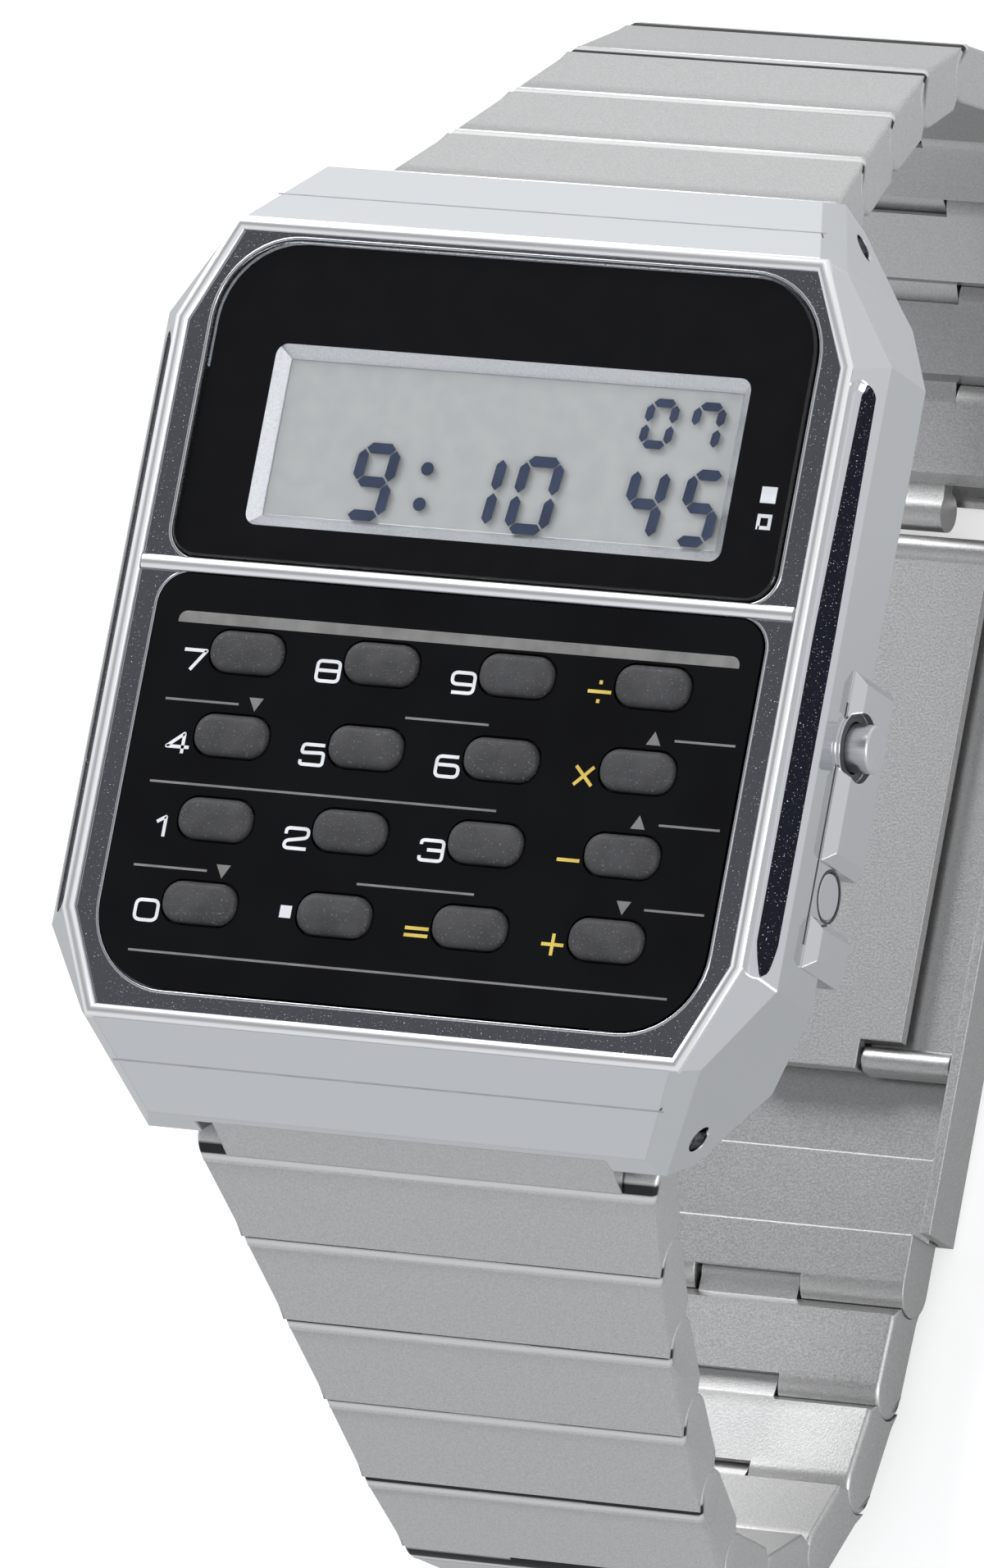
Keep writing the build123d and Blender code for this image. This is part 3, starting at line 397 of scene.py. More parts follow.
def clear_acrylic():
    """Clear sheet: see-through, with the mirror of IOR 1.49 on its front alone, so lamps reach behind it."""
    material = bpy.data.materials.new("clear_cast_acrylic")
    material.use_nodes = True
    tree = material.node_tree
    tree.nodes.clear()
    gloss = add(tree, "BsdfGlossy", {"Color": (1, 1, 1, 1), "Roughness": 0.03})
    through = add(tree, "BsdfTransparent", {"Color": (0.97, 0.975, 0.98, 1)})
    share = add(tree, "Fresnel", {"IOR": 1.49}).outputs["Fac"]
    behind = add(tree, "NewGeometry").outputs["Backfacing"]
    front = add(tree, "Math", {0: 1.0, 1: behind}, operation="SUBTRACT").outputs[0]
    share = add(tree, "Math", {0: share, 1: front}, operation="MULTIPLY").outputs[0]
    mix = add(tree, "MixShader", {0: share, 1: through.outputs[0], 2: gloss.outputs[0]})
    add(tree, "OutputMaterial", {"Surface": mix.outputs[0]})
    return material


clear_sheet = clear_acrylic()


# Bracelet links

link_pitch, half_thickness = 4.75, 1.3
socket_radius, outer_lip, inner_lip, inner_chamfer = 1.34, 0.44, 1.15, 0.45
eye_radius, slot_radius, roof_drop, slot_mouth = 0.9, 1.02, 0.65, 0.02
tongue_half, slot_half = 2.4, 2.6
pin_radius = 0.4
wide_half, narrow_half, taper_links = 10.8, 7.5, 7
bead_width, bead_height = 0.16, 0.03
link_edge, lip_margin = 0.22, 0.1
# along the link from its near pivot: where the painted seam shade starts and ends, and where the painted
# highlight on the fold ends
seam_shade_start, seam_shade_end, fold_highlight_end = -0.75, -0.3, -0.05
# the tongue reaches this far back from the far pivot, between these heights
tongue_reach, tongue_low, tongue_high = 1.62, -0.75, 0.1
# the hollow's roof starts this far behind the near pivot
roof_start = -1.12
last_upper_angle = radians(173.4)
hinges = [joint for joint in frame["joints"] if joint["type"] == "hinge"]
joint_at = {hinge["name"]: np.array(hinge["pos_m"][1:]) / mm for hinge in hinges}


def link_half(k):
    """Half width of the bracelet at joint k: a square-law taper."""
    return narrow_half + (wide_half - narrow_half) * max(0.0, 1 - k / taper_links) ** 2


def link_outline(nose):
    """Side outline of a link from its near pivot: a low bead, the flat top, far lip, socket, inner lip, flat
    underside and then the nose. The bead is half a sine wave."""
    end = link_pitch - outer_lip
    lip_out, lip_in = sqrt(socket_radius**2 - outer_lip**2), sqrt(socket_radius**2 - inner_lip**2)
    high = np.degrees(np.arctan2(lip_out, -outer_lip))
    low = 360 - np.degrees(np.arctan2(lip_in, -inner_lip))
    across_bead = np.linspace(0, 1, 9)
    bead_top = half_thickness + bead_height * np.sin(np.pi * across_bead)
    bead = np.stack([bead_width * across_bead, bead_top], -1)
    top = np.stack([np.linspace(bead_width, end, 6)[1:], np.full(5, half_thickness)], -1)
    under_end = link_pitch - inner_lip - inner_chamfer
    under = np.stack([np.linspace(under_end, 0, 8), np.full(8, -half_thickness)], -1)
    return np.concatenate([bead, top, arc((link_pitch, 0), socket_radius, high, low, 13), under, nose])


# the round nose, and the same end with the hollow for the neighbour's eye under a roof of sheet
full_nose = arc((0, 0), half_thickness, -90, -270, 32)[1:-1]
slot_nose = np.concatenate([
    [[0, -half_thickness + slot_mouth]], arc((0, 0), slot_radius, -90, 140, 20),
    [[roof_start, roof_drop]], arc((0, 0), half_thickness, 150, 92, 8),
])


def link_shells(near_pivot, far_pivot, side, near, far):
    """A folded link: its side outline carried across the width, drawn in by a quarter circle at both ends,
    the middle with the hollow of the nose, and the tongue with its eye as a second outline. Also gives each
    point its painted light: a painted highlight on the fold beside the near pivot, painted shade in the seam
    behind it."""
    along = (far_pivot - near_pivot) / np.linalg.norm(far_pivot - near_pivot)
    out = side * np.array([-along[1], along[0]])

    def placed(flat, x):
        """Outline points (along, out) at their x, put in the watch."""
        yz = near_pivot + flat[:, :1] * along + flat[:, 1:] * out
        return np.column_stack([np.broadcast_to(x, len(flat)), yz])

    whole, hollow = link_outline(full_nose), link_outline(slot_nose)
    # the lips round the socket are thin, so their outline isn't drawn in
    thick = np.hypot(whole[:, 0] - link_pitch, whole[:, 1]) > socket_radius + lip_margin
    inward = normals_of(whole) * thick[:, None]
    half_at = near + (far - near) * whole[:, 0] / link_pitch
    turn = np.radians(np.linspace(0, 90, 6))
    insets, reaches = link_edge * (1 - np.sin(turn)), link_edge * (1 - np.cos(turn))
    place, height = whole.T
    # painted highlight (1) on the fold and painted shade (-1) in the seam behind it, on the top half only
    painted_light_level = np.select([place < seam_shade_start, place < seam_shade_end, place < fold_highlight_end], [0.0, -1.0, 1.0], 0.0)
    painted_light_level *= height > half_thickness / 2
    ends = [(whole + inward * inset, half_at - reach) for inset, reach in zip(insets, reaches)]
    middle = ((whole, -slot_half), (hollow, -slot_half), (hollow, slot_half), (whole, slot_half))
    sections = [placed(flat, -x) for flat, x in ends]
    sections += [placed(flat, x) for flat, x in middle]
    sections += [placed(flat, x) for flat, x in ends[::-1]]
    eye = arc((link_pitch, 0), eye_radius, 173.6, -123.5, 20)
    tongue_end = link_pitch - tongue_reach
    tongue = np.concatenate([[[tongue_end, tongue_low], [tongue_end, tongue_high]], eye])
    pin = arc((0, 0), pin_radius, 0, 337.5, 16)
    pin_half = slot_half + pin_radius
    shells = [
        carried(np.array(sections)),
        carried(np.array([placed(tongue, x) for x in (-tongue_half, tongue_half)])),
        carried(np.array([placed(pin, x) for x in (-pin_half, pin_half)])),
    ]
    points, faces = joined(shells)
    painted_light = np.zeros(len(points))
    painted_light[:len(sections) * len(whole)] = np.tile(painted_light_level, len(sections))
    return points, faces, painted_light


for chain_name, side in (("upper", 1), ("lower", -1)):
    pivots = [joint_at[f"{chain_name}_link_{k + 1}_hinge"] for k in range(10)]
    if side == 1:
        last_step = link_pitch * np.array([cos(last_upper_angle), -sin(last_upper_angle)])
        pivots.append(pivots[-1] + last_step)
    else:
        pivots.append(joint_at["clasp_adjuster_hinge"])
    for k in range(10):
        node = f"{chain_name}_link_{k + 1}"
        points, faces, painted_light = link_shells(pivots[k], pivots[k + 1], side, link_half(k), link_half(k + 1))
        piece = mesh_piece(f"{node}_folded", points, faces, angle=35)
        # each point's painted light level, highlight or shade, goes on the mesh
        piece.data.attributes.new("painted_light_level", "FLOAT", "POINT").data.foreach_set("value", painted_light)
        dressed(piece, blasted_steel_with_painted_light, node, (node,))


# Bright trim of the front, and the painted dark reflections in the channels of the sides

plate_half_width, plate_side_end, plate_end_half, plate_half_length = 15.5, 13.1, 13.64, 17.24
plate_outline = np.array([
    (plate_half_width, -plate_side_end), (plate_half_width, plate_side_end),
    (plate_end_half, plate_half_length), (-plate_end_half, plate_half_length),
    (-plate_half_width, plate_side_end), (-plate_half_width, -plate_side_end),
    (-plate_end_half, -plate_half_length), (plate_end_half, -plate_half_length),
])


def octagon_path(grow):
    """The plate's eight corners, moved out along their mitres until each side lies further out by grow."""
    ahead = np.roll(plate_outline, -1, 0) - plate_outline
    ahead /= np.linalg.norm(ahead, axis=1)[:, None]
    behind = np.roll(ahead, 1, 0)
    outwards = np.stack([ahead[:, 1], -ahead[:, 0]], -1)
    mitre = outwards + np.stack([behind[:, 1], -behind[:, 0]], -1)
    mitre /= (mitre * outwards).sum(1)[:, None]
    return plate_outline + mitre * grow


def octagon_bead(inner, outer, low, height, root=0.25):
    """A half-round bead round the plate: at each step over the half circle the octagon grows and rises. Its
    root reaches down into the case."""
    t = np.radians(np.linspace(0, 180, 13))
    middle, half = (inner + outer) / 2, (outer - inner) / 2
    grow = np.concatenate([middle - half * np.cos(t), [outer, inner]])
    rise = np.concatenate([low + height * np.sin(t), [low - root, low - root]])
    sections = np.stack([raised(octagon_path(g), z) for g, z in zip(grow, rise)])
    return sections.reshape(-1, 3), grid_faces(len(grow), 8, 0, closed_rows=True)


points, faces = octagon_bead(inner=0.02, outer=0.60, low=0.10, height=0.16)
ridge = mesh_piece("plate_ridge_bead", points, outward(points, faces), 40)
dressed(ridge, bright_chrome, "case")

window_half_width, lip_half, lip_height, lip_root = 14.4, 0.08, 0.06, 0.02


def window_lip(low, high, low_radius, high_radius):
    """The polished lip of a window: a half-round profile carried round the window's outline."""
    outline = rounded_box(-window_half_width, window_half_width, low, high, low_radius, high_radius, 13)
    t = np.radians(np.linspace(180, 0, 9))
    offsets = np.concatenate([lip_half + lip_half * np.cos(t), [2 * lip_half, 0.0]])
    heights = np.concatenate([lip_height * np.sin(t), [-lip_root, -lip_root]])
    sections = rings(outline, offsets, heights)
    n, m = sections.shape[:2]
    return sections.reshape(-1, 3), grid_faces(n, m, 0, closed_rows=True)


for name, low, high, low_radius, high_radius in (
    ("upper_window_lip", 2.6, 17.0, 1.4, 3.7),
    ("lower_window_lip", -16.4, 1.95, 3.7, 1.4),
):
    points, faces = window_lip(low, high, low_radius, high_radius)
    dressed(mesh_piece(name, points, outward(points, faces), 50), grey_chrome, "case")

# the bright bar between the windows: a half-round profile carried from side to side
bar_middle, bar_half, bar_height, bar_root, bar_half_length = 2.275, 0.31, 0.14, 0.02, 15.45
half_turn = np.radians(np.linspace(0, 180, 13))
across = bar_middle + bar_half * np.append(np.cos(half_turn), [-1, 1])
height = bar_rise + np.append(bar_height * np.sin(half_turn), [-bar_root, -bar_root])
ends = [np.full(len(across), x) for x in (-bar_half_length, bar_half_length)]
points, faces = carried(np.array([np.column_stack([end, across, height + dial_z]) for end in ends]))
centre_bar = mesh_piece("centre_bar_bead", points, outward(points, faces), 40)
dressed(centre_bar, bright_chrome, "case")

# the side channels: a round section that cuts into the bevel beside the plate
channel_x, channel_z, channel_radius = 17.35, 0.42, 1.3
channel_low, channel_high = -12.9, 12.2
bevel_top, bevel_foot = np.array([16.12, 0.12]), np.array([case_half_width, -1.35])
# the painted dark reflection passes the ends of the channel by these, and is rounded over these lengths at
# its tips
low_passing, high_passing, low_rounding, high_rounding = 0.4, 0.45, 1.5, 0.5
# it narrows to this share at the upper tip, over this length; it covers this turn and this part of the bevel
upper_share, narrowing_length, lining_turn, lining_foot = 0.65, 11, radians(25), 0.42
lining_thickness = 0.015


def painted_channel_reflection(side):
    """The painted dark reflection in the lower part of a side channel: an arc of the channel's section and a
    foot along the bevel. The channel ends in spheres, so its radius falls there by Pythagoras. The share of
    the full width follows a square root at both tips, and falls slowly towards the upper one."""
    down = (bevel_foot - bevel_top) / np.linalg.norm(bevel_foot - bevel_top)
    out = np.array([-down[1], down[0]])
    centre = np.array([channel_x, channel_z])
    clear = (centre - bevel_top) @ out
    low_tip, high_tip = channel_low - low_passing, channel_high + high_passing
    # stations along the channel, closest together where the width changes fast
    stations = np.linspace(low_tip, -8, 30), np.linspace(-7.5, high_tip - 1, 40)
    y = np.concatenate([*stations, np.linspace(high_tip - 0.97, high_tip, 24)])[:, None]
    beyond = np.maximum(y - channel_high, 0) + np.maximum(channel_low - y, 0)
    reach = np.sqrt(channel_radius**2 - beyond**2)
    share = np.minimum(1, np.sqrt((y - low_tip) / low_rounding))
    share = share * np.minimum(1, np.sqrt((high_tip - y) / high_rounding))
    share *= upper_share + (1 - upper_share) * np.minimum(1, (high_tip - y) / narrowing_length)
    last = np.arctan2(-out[1], -out[0]) + 2 * np.pi + np.arccos(clear / reach)
    angle = last - lining_turn * share * np.linspace(1, 0, 9)
    edge = (centre - bevel_top) @ down + np.sqrt(reach**2 - clear**2)
    foot = edge + lining_foot * share * np.linspace(0, 1, 4)
    sheets = []
    for inwards, rise in ((lining_thickness, film_rise), (-film_depth, -film_depth)):
        radius = reach - inwards
        foot_x = bevel_top[0] + foot * down[0] + rise * out[0]
        foot_z = bevel_top[1] + foot * down[1] + rise * out[1]
        x = np.concatenate([channel_x + radius * np.cos(angle), foot_x], 1)
        z = np.concatenate([channel_z + radius * np.sin(angle), foot_z], 1)
        sheets.append(np.stack([side * x, np.broadcast_to(y, x.shape), z + dial_z], -1))
    return skin(*sheets)


# a painted dark reflection in each side channel
for name, side in (("right_channel_painted_reflection", 1), ("left_channel_painted_reflection", -1)):
    points, faces = painted_channel_reflection(side)
    dressed(mesh_piece(name, points, outward(points, faces), 40), channel_painted_reflection, "case")


# Pad and pushers of the right side

# painted shade along the crease where the pad round the pushers meets the side of the case
crease_depths, crease_ends = (2.97, 3.09), (-11.2, -0.6)
crease = np.array([[(case_half_width, y, dial_z - depth) for depth in crease_depths] for y in crease_ends])
points, faces = skin(crease + (film_rise, 0, 0), crease - (film_depth, 0, 0))
dressed(mesh_piece("pad_crease_painted_shade", points, outward(points, faces)), painted_shade_film, "case")

pad_rise = 0.55
button_radius, button_play = 1.05, 0.08
recess_width, recess_depth, recess_margin = 0.45, 0.35, 0.02
gap_inset, gap_margin = 0.01, 0.05


def ring_round(node, inner, outer, x):
    """A thin flat ring round a pusher, centred on the pusher's box, facing out of the side at x."""
    middle = np.array(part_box(node)).mean(0) / mm
    turn = np.radians(np.arange(0, 360, 7.5))
    rows = ((inner, -film_depth), (outer, -film_depth), (outer, film_rise), (inner, film_rise))
    across, up = np.cos(turn), np.sin(turn)
    points = np.concatenate([
        np.column_stack([np.full(len(turn), x + out), middle[1] + r * across, middle[2] + r * up])
        for r, out in rows
    ])
    return points, outward(points, grid_faces(4, len(turn), closed_rows=True))


# painted shade: a dark ring on the floor of the recess round the mode button, and one over the gap round the
# flush one
recess_painted_shade = mesh_piece("mode_recess_painted_shade", *ring_round(
    "mode_button", button_radius + button_play, button_radius + recess_width - recess_margin,
    case_half_width + pad_rise - recess_depth,
))
dressed(recess_painted_shade, painted_shade_film, "case")
flush_gap_painted_shade = mesh_piece("adjust_button_gap_painted_shade", *ring_round(
    "adjust_button", button_radius + gap_inset, button_radius + button_play + gap_margin, case_half_width,
))
dressed(flush_gap_painted_shade, painted_shade_film, "case")


# Keys

key_names = (
    ("7", "8", "9", "divide"),
    ("4", "5", "6", "multiply"),
    ("1", "2", "3", "minus"),
    ("0", "point", "equals", "plus"),
)
key_pitch_x, key_pitch_y, key_rows_middle = 6.42, 3.7, -6.95
key_half_length, key_half_width, key_corner = 1.725, 0.9, 0.82
flange_width, flange_low, flange_high = 0.33, -0.96, -0.56
# the rounded edge: its radius, the height where it starts, and its rise as a share of the radius
key_edge, key_edge_start, key_edge_rise = 0.34, 0.13, 0.92
# the domed top: how far in each step lies, and its height
dome_insets, dome_heights = (-0.5, -0.7, -0.82), (0.46, 0.475, 0.48)


def key_place(row, column):
    """Middle of a key in the four by four grid."""
    return (column - 1.5) * key_pitch_x, key_rows_middle + (1.5 - row) * key_pitch_y


def key_cap(x, y):
    """A rubber key: its flange, then the rounded-box outline raised, its edge a quarter round, its top
    slightly domed."""
    sides = (x - key_half_length, x + key_half_length, y - key_half_width, y + key_half_width)
    outline = rounded_box(*sides, key_corner, key_corner)
    t = np.radians(np.linspace(0, 90, 7))[1:]
    offsets = [flange_width, flange_width, 0.0, 0.0, *(-key_edge * (1 - np.cos(t))), *dome_insets]
    edge_heights = key_edge_start + key_edge * key_edge_rise * np.sin(t)
    heights = [flange_low, flange_high, flange_high, key_edge_start, *edge_heights, *dome_heights]
    return carried(rings(outline, offsets, heights))


for row, names in enumerate(key_names):
    for column, name in enumerate(names):
        points, faces = key_cap(*key_place(row, column))
        piece = mesh_piece(f"key_{name}_cap", points, outward(points, faces), 40)
        dressed(piece, key_rubber, f"key_{name}", (f"key_{name}",))


# Printing on the front

# ink lies between two heights, and each further stroke of a sign is a step higher, so no two share a plane
ink_low, ink_high, ink_step = 0.1, 0.112, 0.003
# digits in a box from -0.5 to 0.5, as strokes of a wide plain hand: the corner points, and how round they are
digit_strokes = {
    "0": [([(0, 0.5), (0.5, 0.5), (0.5, -0.5), (-0.5, -0.5), (-0.5, 0.5), (0, 0.5)], 0.3)],
    "1": [([(-0.28, 0.22), (0.1, 0.5), (0.1, -0.5)], 0.02)],
    "2": [(
        [(-0.5, 0.2), (-0.5, 0.5), (0.5, 0.5), (0.5, 0.06), (-0.5, -0.14), (-0.5, -0.5), (0.5, -0.5)], 0.2,
    )],
    "3": [
        ([(-0.5, 0.28), (-0.5, 0.5), (0.5, 0.5), (0.5, 0.0), (0.5, -0.5), (-0.5, -0.5), (-0.5, -0.28)], 0.2),
        ([(-0.2, 0.02), (0.46, 0.02)], 0.02),
    ],
    "4": [([(0.22, -0.5), (0.22, 0.5), (-0.5, -0.18), (0.5, -0.18)], 0.02)],
    "5": [(
        [(0.5, 0.5), (-0.45, 0.5), (-0.5, 0.08), (0.5, 0.12), (0.5, -0.5), (-0.5, -0.5), (-0.5, -0.28)], 0.15,
    )],
    "6": [([(0.45, 0.5), (-0.5, 0.5), (-0.5, -0.5), (0.5, -0.5), (0.5, 0.08), (-0.44, 0.08)], 0.25)],
    "7": [([(-0.5, 0.5), (0.5, 0.5), (-0.12, -0.5)], 0.02)],
    "8": [
        ([(0, 0.5), (0.5, 0.5), (0.5, -0.5), (-0.5, -0.5), (-0.5, 0.5), (0, 0.5)], 0.22),
        ([(-0.46, 0.03), (0.46, 0.03)], 0.02),
    ],
    "9": [([(-0.45, -0.5), (0.5, -0.5), (0.5, 0.5), (-0.5, 0.5), (-0.5, -0.08), (0.44, -0.08)], 0.25)],
}
sign_paths = {
    "divide": [[(-0.55, 0), (0.55, 0)], [(0, 0.36), (0, 0.54)], [(0, -0.36), (0, -0.54)]],
    "multiply": [[(-0.42, -0.45), (0.42, 0.45)], [(-0.42, 0.45), (0.42, -0.45)]],
    "minus": [[(-0.53, 0), (0.53, 0)]],
    "plus": [[(-0.52, 0), (0.52, 0)], [(0, -0.52), (0, 0.52)]],
    "equals": [[(-0.56, 0.17), (0.56, 0.17)], [(-0.56, -0.17), (0.56, -0.17)]],
}


def set_strokes(paths, x, y, width, height, weight):
    """The strokes of one sign, sized and moved to its place, each a hair higher than the last."""
    placed = [np.asarray(path, float) * (width, height) + (x, y) for path in paths]
    return [stroke(path, weight, ink_low, ink_high + ink_step * k) for k, path in enumerate(placed)]


label_offset_x, label_offset_y, sign_lift = -2.47, -0.50, 0.12
digit_size, sign_size, label_weight = (1.06, 0.88), (1.0, 0.92), 0.15
digits, signs = [], []
for row, names in enumerate(key_names):
    for column, name in enumerate(names):
        x, y = np.array(key_place(row, column)) + (label_offset_x, label_offset_y)
        if name in digit_strokes:
            paths = [turned(corners, roundness) for corners, roundness in digit_strokes[name]]
            digits += set_strokes(paths, x, y, *digit_size, label_weight)
        elif name in sign_paths:
            signs += set_strokes(sign_paths[name], x, y + sign_lift, *sign_size, label_weight)
# the decimal point is a square
point_x, point_top, point_size = -5.54, -12.25, 0.54
point_path = [(point_x, point_top), (point_x, point_top - point_size)]
digits.append(stroke(point_path, point_size, ink_low, ink_high))
dressed(mesh_piece("panel_digits", *joined(digits)), white_ink, "case")
dressed(mesh_piece("panel_signs", *joined(signs)), gold_ink, "case")

# thin grey lines between the rows, with gaps; the band above the keys; the triangles that point to a row
rule_weight = 0.1
rules = [
    ((-13.1, -3.68), (-9.6, -3.68)), ((-1.65, -3.64), (2.3, -3.64)), ((11.06, -3.64), (13.9, -3.64)),
    ((-13.1, -7.34), (3.4, -7.34)), ((11.05, -7.34), (13.9, -7.34)),
    ((-13.1, -11.06), (-9.6, -11.06)), ((-2.45, -11.04), (3.1, -11.04)), ((11.1, -11.04), (13.9, -11.04)),
    ((-12.6, -14.78), (12.9, -14.78)),
]
greys = [stroke(rule, rule_weight, ink_low, ink_high) for rule in rules]
band = rounded_box(-13.2, 13.4, -0.27, 0.24, 0.04, 0.4, 7)
greys.append(carried(rings(band, [0, 0], [ink_low, ink_high])))
triangle_half, triangle_foot, triangle_tip = 0.34, 0.28, 0.32
for x, y, up in (
    (-8.8, -3.62, -1), (10.1, -3.62, 1), (10.1, -7.3, 1), (-8.85, -11.02, -1), (10.1, -11.02, -1),
):
    foot, tip = -triangle_foot * up, triangle_tip * up
    corners = np.array([(-triangle_half, foot), (triangle_half, foot), (0, tip)])[::up] + (x, y)
    greys.append(carried(rings(corners, [0, 0], [ink_low, ink_high])))
dressed(mesh_piece("panel_rules", *joined(greys)), grey_ink, "case")

# the two small squares beside the display mark the pushers: one filled, one open
mark_low, mark_high, mark_weight = -0.465, -0.455, 0.16
filled = np.array([(12.67, 7.14), (13.39, 7.14), (13.39, 7.86), (12.67, 7.86)])
open_square = [(12.77, 6.05), (13.29, 6.05), (13.29, 6.57), (12.77, 6.57), (12.77, 5.97)]
marks = [
    carried(rings(filled, [0, 0], [mark_low, mark_high])),
    stroke(open_square, mark_weight, mark_low, mark_high),
]


# Display

# the back printing of the window, black with an opening for the display, just inside the clear sheet
print_low, print_high = -0.495, -0.475
print_outline = rounded_box(-14.33, 14.33, 2.67, 16.93, 1.34, 3.64)
print_hole = rounded_box(-11.3, 11.3, 4.4, 12.5, 0.55, 0.55)


def pierced(outer, inner, low, high):
    """A flat ring between two outlines with as many points each, closed top, bottom and both edges."""
    sections = np.stack([raised(outer, low), raised(outer, high), raised(inner, high), raised(inner, low)])
    return sections.reshape(-1, 3), grid_faces(4, len(outer), 0, closed_rows=True)


points, faces = pierced(print_outline, print_hole, print_low, print_high)
back_print = mesh_piece("window_back_print", points, outward(points, faces))
dressed(back_print, black_print, "case")
dressed(mesh_piece("window_marks", *joined(marks)), white_ink, "case")

# the front glass of the display, with the segments on top of it, clear of the reflector behind
glass_outline = rounded_box(-10.74, 10.74, 4.99, 11.95, 0.2, 0.2, 5)
lcd_glass_low, lcd_glass_high = -1.035, -0.86
segment_high = lcd_glass_high + film_rise
segment_gap = 0.06
glass = joined([carried(rings(glass_outline, [0, 0], [lcd_glass_low, lcd_glass_high]))])
dressed(mesh_piece("display_front_glass", *glass), clear_sheet, "case")

segment_ends = {
    "a": ((-0.5, 0.5), (0.5, 0.5)), "b": ((0.5, 0.5), (0.5, 0)), "c": ((0.5, 0), (0.5, -0.5)),
    "d": ((0.5, -0.5), (-0.5, -0.5)), "e": ((-0.5, -0.5), (-0.5, 0)), "f": ((-0.5, 0), (-0.5, 0.5)),
    "g": ((-0.5, 0), (0.5, 0)),
}
lit = {"0": "abcdef", "1": "bc", "4": "bcfg", "5": "acdfg", "7": "abcf", "9": "abcdfg"}


def segment(start, end, weight, gap):
    """One bar of a digit: a six-sided outline with pointed ends, raised by a hair."""
    start, end = np.asarray(start, float), np.asarray(end, float)
    along = (end - start) / np.linalg.norm(end - start)
    across = np.array([-along[1], along[0]]) * weight / 2
    point = along * weight / 2
    a, b = start + along * gap, end - along * gap
    return np.array([a, a - across + point, b - across - point, b, b + across - point, a + across + point])


def display_digit(digit, x, y, width, height, weight, slant=0.11):
    """The lit bars of one digit in a leaning box."""
    shells = []
    for key in lit[digit]:
        ends = np.array(segment_ends[key]) * (width, height)
        outline = segment(ends[0], ends[1], weight, segment_gap)
        outline = outline + np.stack([outline[:, 1] * slant + x, np.full(6, y)], -1)
        shells.append(carried(rings(outline, [0, 0], [lcd_glass_high, segment_high])))
    return shells


segments = []
for digit, x, y, width, height, weight in (
    ("9", -5.8, 6.78, 1.5, 3.0, 0.48), ("1", -0.72, 6.78, 1.5, 3.0, 0.48), ("0", 1.95, 6.75, 1.6, 3.0, 0.48),
    ("4", 7.1, 6.77, 1.35, 2.95, 0.48), ("5", 9.75, 6.77, 1.35, 2.95, 0.48),
    ("0", 7.15, 10.32, 1.15, 1.85, 0.38), ("7", 9.35, 10.32, 1.15, 1.85, 0.38),
):
    segments += display_digit(digit, x, y, width, height, weight)
# the two dots of the colon
dot_radius = 0.3
for x, y in ((-3.3, 7.55), (-3.37, 5.97)):
    dot = arc((x, y), dot_radius, 0, 345, 24)
    segments.append(carried(rings(dot, [0, 0], [lcd_glass_high, segment_high])))
dressed(mesh_piece("display_segments", *joined(segments)), crystal_ink, "case")


# Seams of the case

# where the end slope starts and ends, and how deep it ends; then the seam across it
ridge_end, slope_end, slope_drop = 17.86, 21.13, 2.97
seam_near, seam_far, seam_half_length, seam_rise = 19.30, 19.36, 13.05, 0.006


def slope_height(y):
    """Height of the end slope at that distance from the middle: a straight fall from the ridge."""
    return bar_rise - (abs(y) - ridge_end) / (slope_end - ridge_end) * (bar_rise + slope_drop)


for name, side in (("upper_slope_seam", 1), ("lower_slope_seam", -1)):
    line = np.array([
        [(x, side * y, dial_z + slope_height(y)) for x in (-seam_half_length, seam_half_length)]
        for y in (seam_near, seam_far)
    ])
    points, faces = skin(line + (0, 0, seam_rise), line - (0, 0, film_depth))
    dressed(mesh_piece(name, points, outward(points, faces)), faint_seam, "case")


# Finishes of the pieces whose shape stays as it is

finishes = {
    "case_body": polished_steel,
    "front_bezel": smoky_plate,
    "display_crystal": clear_sheet,
    "lcd_surround": silver_frame,
    "lcd_panel": reflector,
    "keypad_panel": gloss_panel,
    "key_membrane": membrane,
    "module_frame": black_moulding,
    "circuit_board": board_green,
    "battery": cell_can,
    "case_back": brushed_back,
    "case_back_gasket": seal_rubber,
}
turned_pieces = ("case_back_screws", "spring_bars", "mode_button", "adjust_button")
blasted_pieces = (
    "upper_end_link", "lower_end_link",
    "clasp_adjuster", "clasp_cover", "clasp_outer_leaf", "clasp_inner_leaf",
)
finishes |= dict.fromkeys(turned_pieces, turned_steel)
finishes |= dict.fromkeys(blasted_pieces, blasted_soft)
for name, material in finishes.items():
    mesh = frame["nodes"][name].data
    mesh.materials.clear()
    mesh.materials.append(material)


# Floor, light and camera

# in metres: the floor's half side, and how far it lies under the watch so that the two never share a plane
floor_half, floor_drop = 3, 0.00002
# the floor's lift for the camera and glass; a reach along Y, and the lift for a mirror at its two ends
seen_lift, lift_reach, mirrored_lift = 0.54, (0.04, 0.16), (0.04, 0.36)


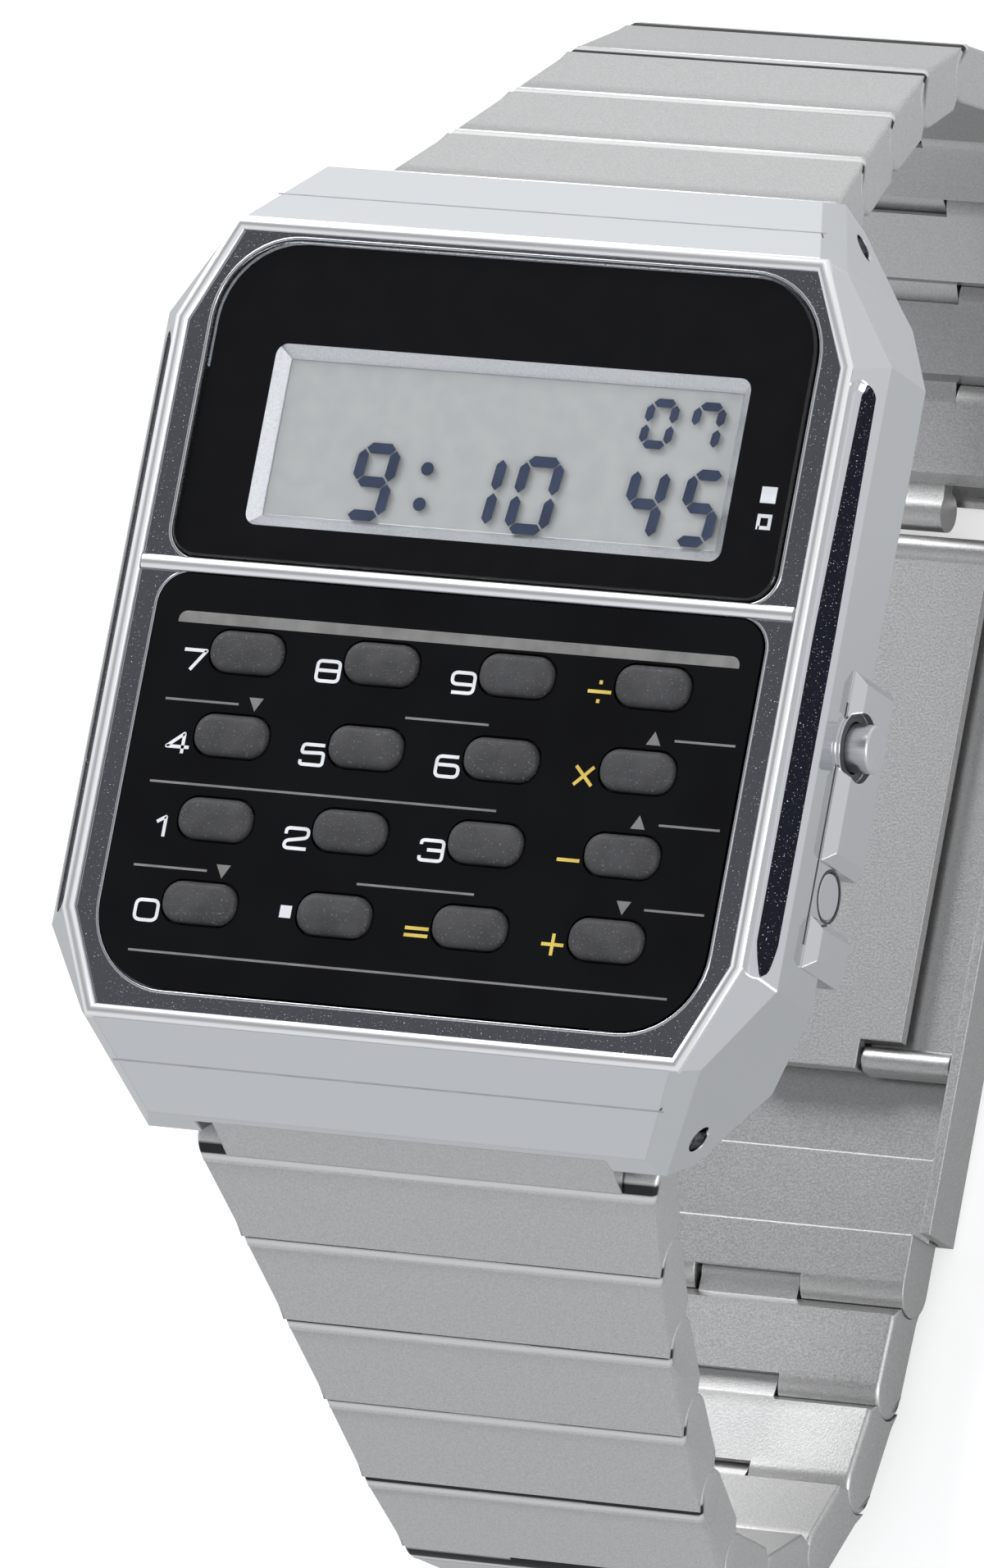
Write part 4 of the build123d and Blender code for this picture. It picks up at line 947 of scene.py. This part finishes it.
def shown_white(name, colour):
    """A matt pale floor that keeps its shadow, lifted towards white where the camera or glass sees it, and
    less where a mirror sees it: a little near the watch, more behind 12 o'clock."""
    material, tree, shader = started(name, Base_Color=linear(colour), Roughness=0.9)
    path = add(tree, "LightPath")
    direct = {0: path.outputs["Is Camera Ray"], 1: path.outputs["Is Transmission Ray"]}
    direct = add(tree, "Math", direct, operation="MAXIMUM").outputs[0]
    seen = add(tree, "Math", {0: direct, 1: seen_lift}, operation="MULTIPLY").outputs[0]
    place = add(tree, "SeparateXYZ", {0: add(tree, "TexCoord").outputs["Object"]}).outputs["Y"]
    behind = spread(tree, place, *lift_reach, *mirrored_lift)
    mirrored = add(tree, "Math", {0: path.outputs["Is Glossy Ray"], 1: behind}, operation="MULTIPLY")
    lift = add(tree, "Math", {0: seen, 1: mirrored.outputs[0]}, operation="MAXIMUM")
    shader.inputs["Emission Color"].default_value = (1, 1, 1, 1)
    tree.links.new(lift.outputs[0], shader.inputs["Emission Strength"])
    return material


floor_mesh = bpy.data.meshes.new("floor")
corners = [(x * floor_half, y * floor_half, -floor_drop) for x, y in ((-1, -1), (1, -1), (1, 1), (-1, 1))]
floor_mesh.from_pydata(corners, [], [(0, 1, 2, 3)])
floor = bpy.data.objects.new("floor", floor_mesh)
bpy.context.scene.collection.objects.link(floor)
floor_mesh.materials.append(shown_white("pale_studio_floor", "#c4c4c4"))
floor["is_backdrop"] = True


# the dark flag's direction, and the cosines from it between which it fades in
flag_place, flag_edge = (-0.43, 0.2, 0.88), (0.90, 0.96)


def studio_world():
    """An even pale studio. Mirrors see it brighter behind 12 o'clock, with a dark flag over the watch."""
    world = bpy.data.worlds.new("studio")
    bpy.context.scene.world = world
    world.use_nodes = True
    tree = world.node_tree
    tree.nodes.clear()
    direction = add(tree, "TexCoord").outputs["Generated"]
    behind = add(tree, "SeparateXYZ", {0: direction}).outputs["Y"]
    behind = spread(tree, behind, -1.0, 1.0, 0.0, 1.0)
    mirrored = blended(tree, behind, linear("#e4e5e7"), linear("#f6f6f7"))
    toward = add(tree, "VectorMath", {0: direction, 1: flag_place}, operation="DOT_PRODUCT").outputs["Value"]
    mirrored = blended(tree, spread(tree, toward, *flag_edge, 0.0, 1.0), mirrored, linear("#707176"))
    path = add(tree, "LightPath")
    colour = blended(tree, path.outputs["Is Glossy Ray"], linear("#e9ebed"), mirrored)
    colour = blended(tree, path.outputs["Is Camera Ray"], colour, (1, 1, 1, 1))
    light = add(tree, "Background", {"Color": colour, "Strength": 1.0})
    add(tree, "OutputWorld", {"Surface": light.outputs[0]})


studio_world()


def soft_box(name, place, target, width, height, power):
    """A soft box: an area lamp at place that looks at target, in metres."""
    lamp = bpy.data.lights.new(name, "AREA")
    lamp.shape, lamp.size, lamp.size_y, lamp.energy = "RECTANGLE", width, height, power
    box_object = bpy.data.objects.new(name, lamp)
    bpy.context.scene.collection.objects.link(box_object)
    box_object.location = place
    box_object.rotation_mode = "QUATERNION"
    box_object.rotation_quaternion = (Vector(target) - Vector(place)).to_track_quat("-Z", "Y")


watch_middle = (0, 0, 0.03)
soft_box("upper_left_box", (-0.45, 0.5, 0.45), watch_middle, 0.35, 0.35, 3.0)
soft_box("right_box", (0.6, -0.1, 0.35), watch_middle, 0.25, 0.4, 1.6)

# the photograph's camera, fitted to about forty points of the watch
camera_data = bpy.data.cameras.new("camera")
camera_data.sensor_width = 36.0
camera_data.lens = 417.771
camera_data.clip_start, camera_data.clip_end = 0.05, 20.0
camera = bpy.data.objects.new("camera", camera_data)
bpy.context.scene.collection.objects.link(camera)
camera.matrix_world = Matrix((
    (0.8976288277904202, -0.0791688966622965, 0.4335836405134202, 0.3376403767),
    (0.18091343903375884, 0.9632261834163086, -0.19865962639205378, -0.1595204826),
    (-0.4019114518106875, 0.2567637150816419, 0.8789423072767056, 0.7219589276),
    (0, 0, 0, 1),
))
bpy.context.scene.camera = camera
bpy.context.scene.view_settings.view_transform = "Standard"

low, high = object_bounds()
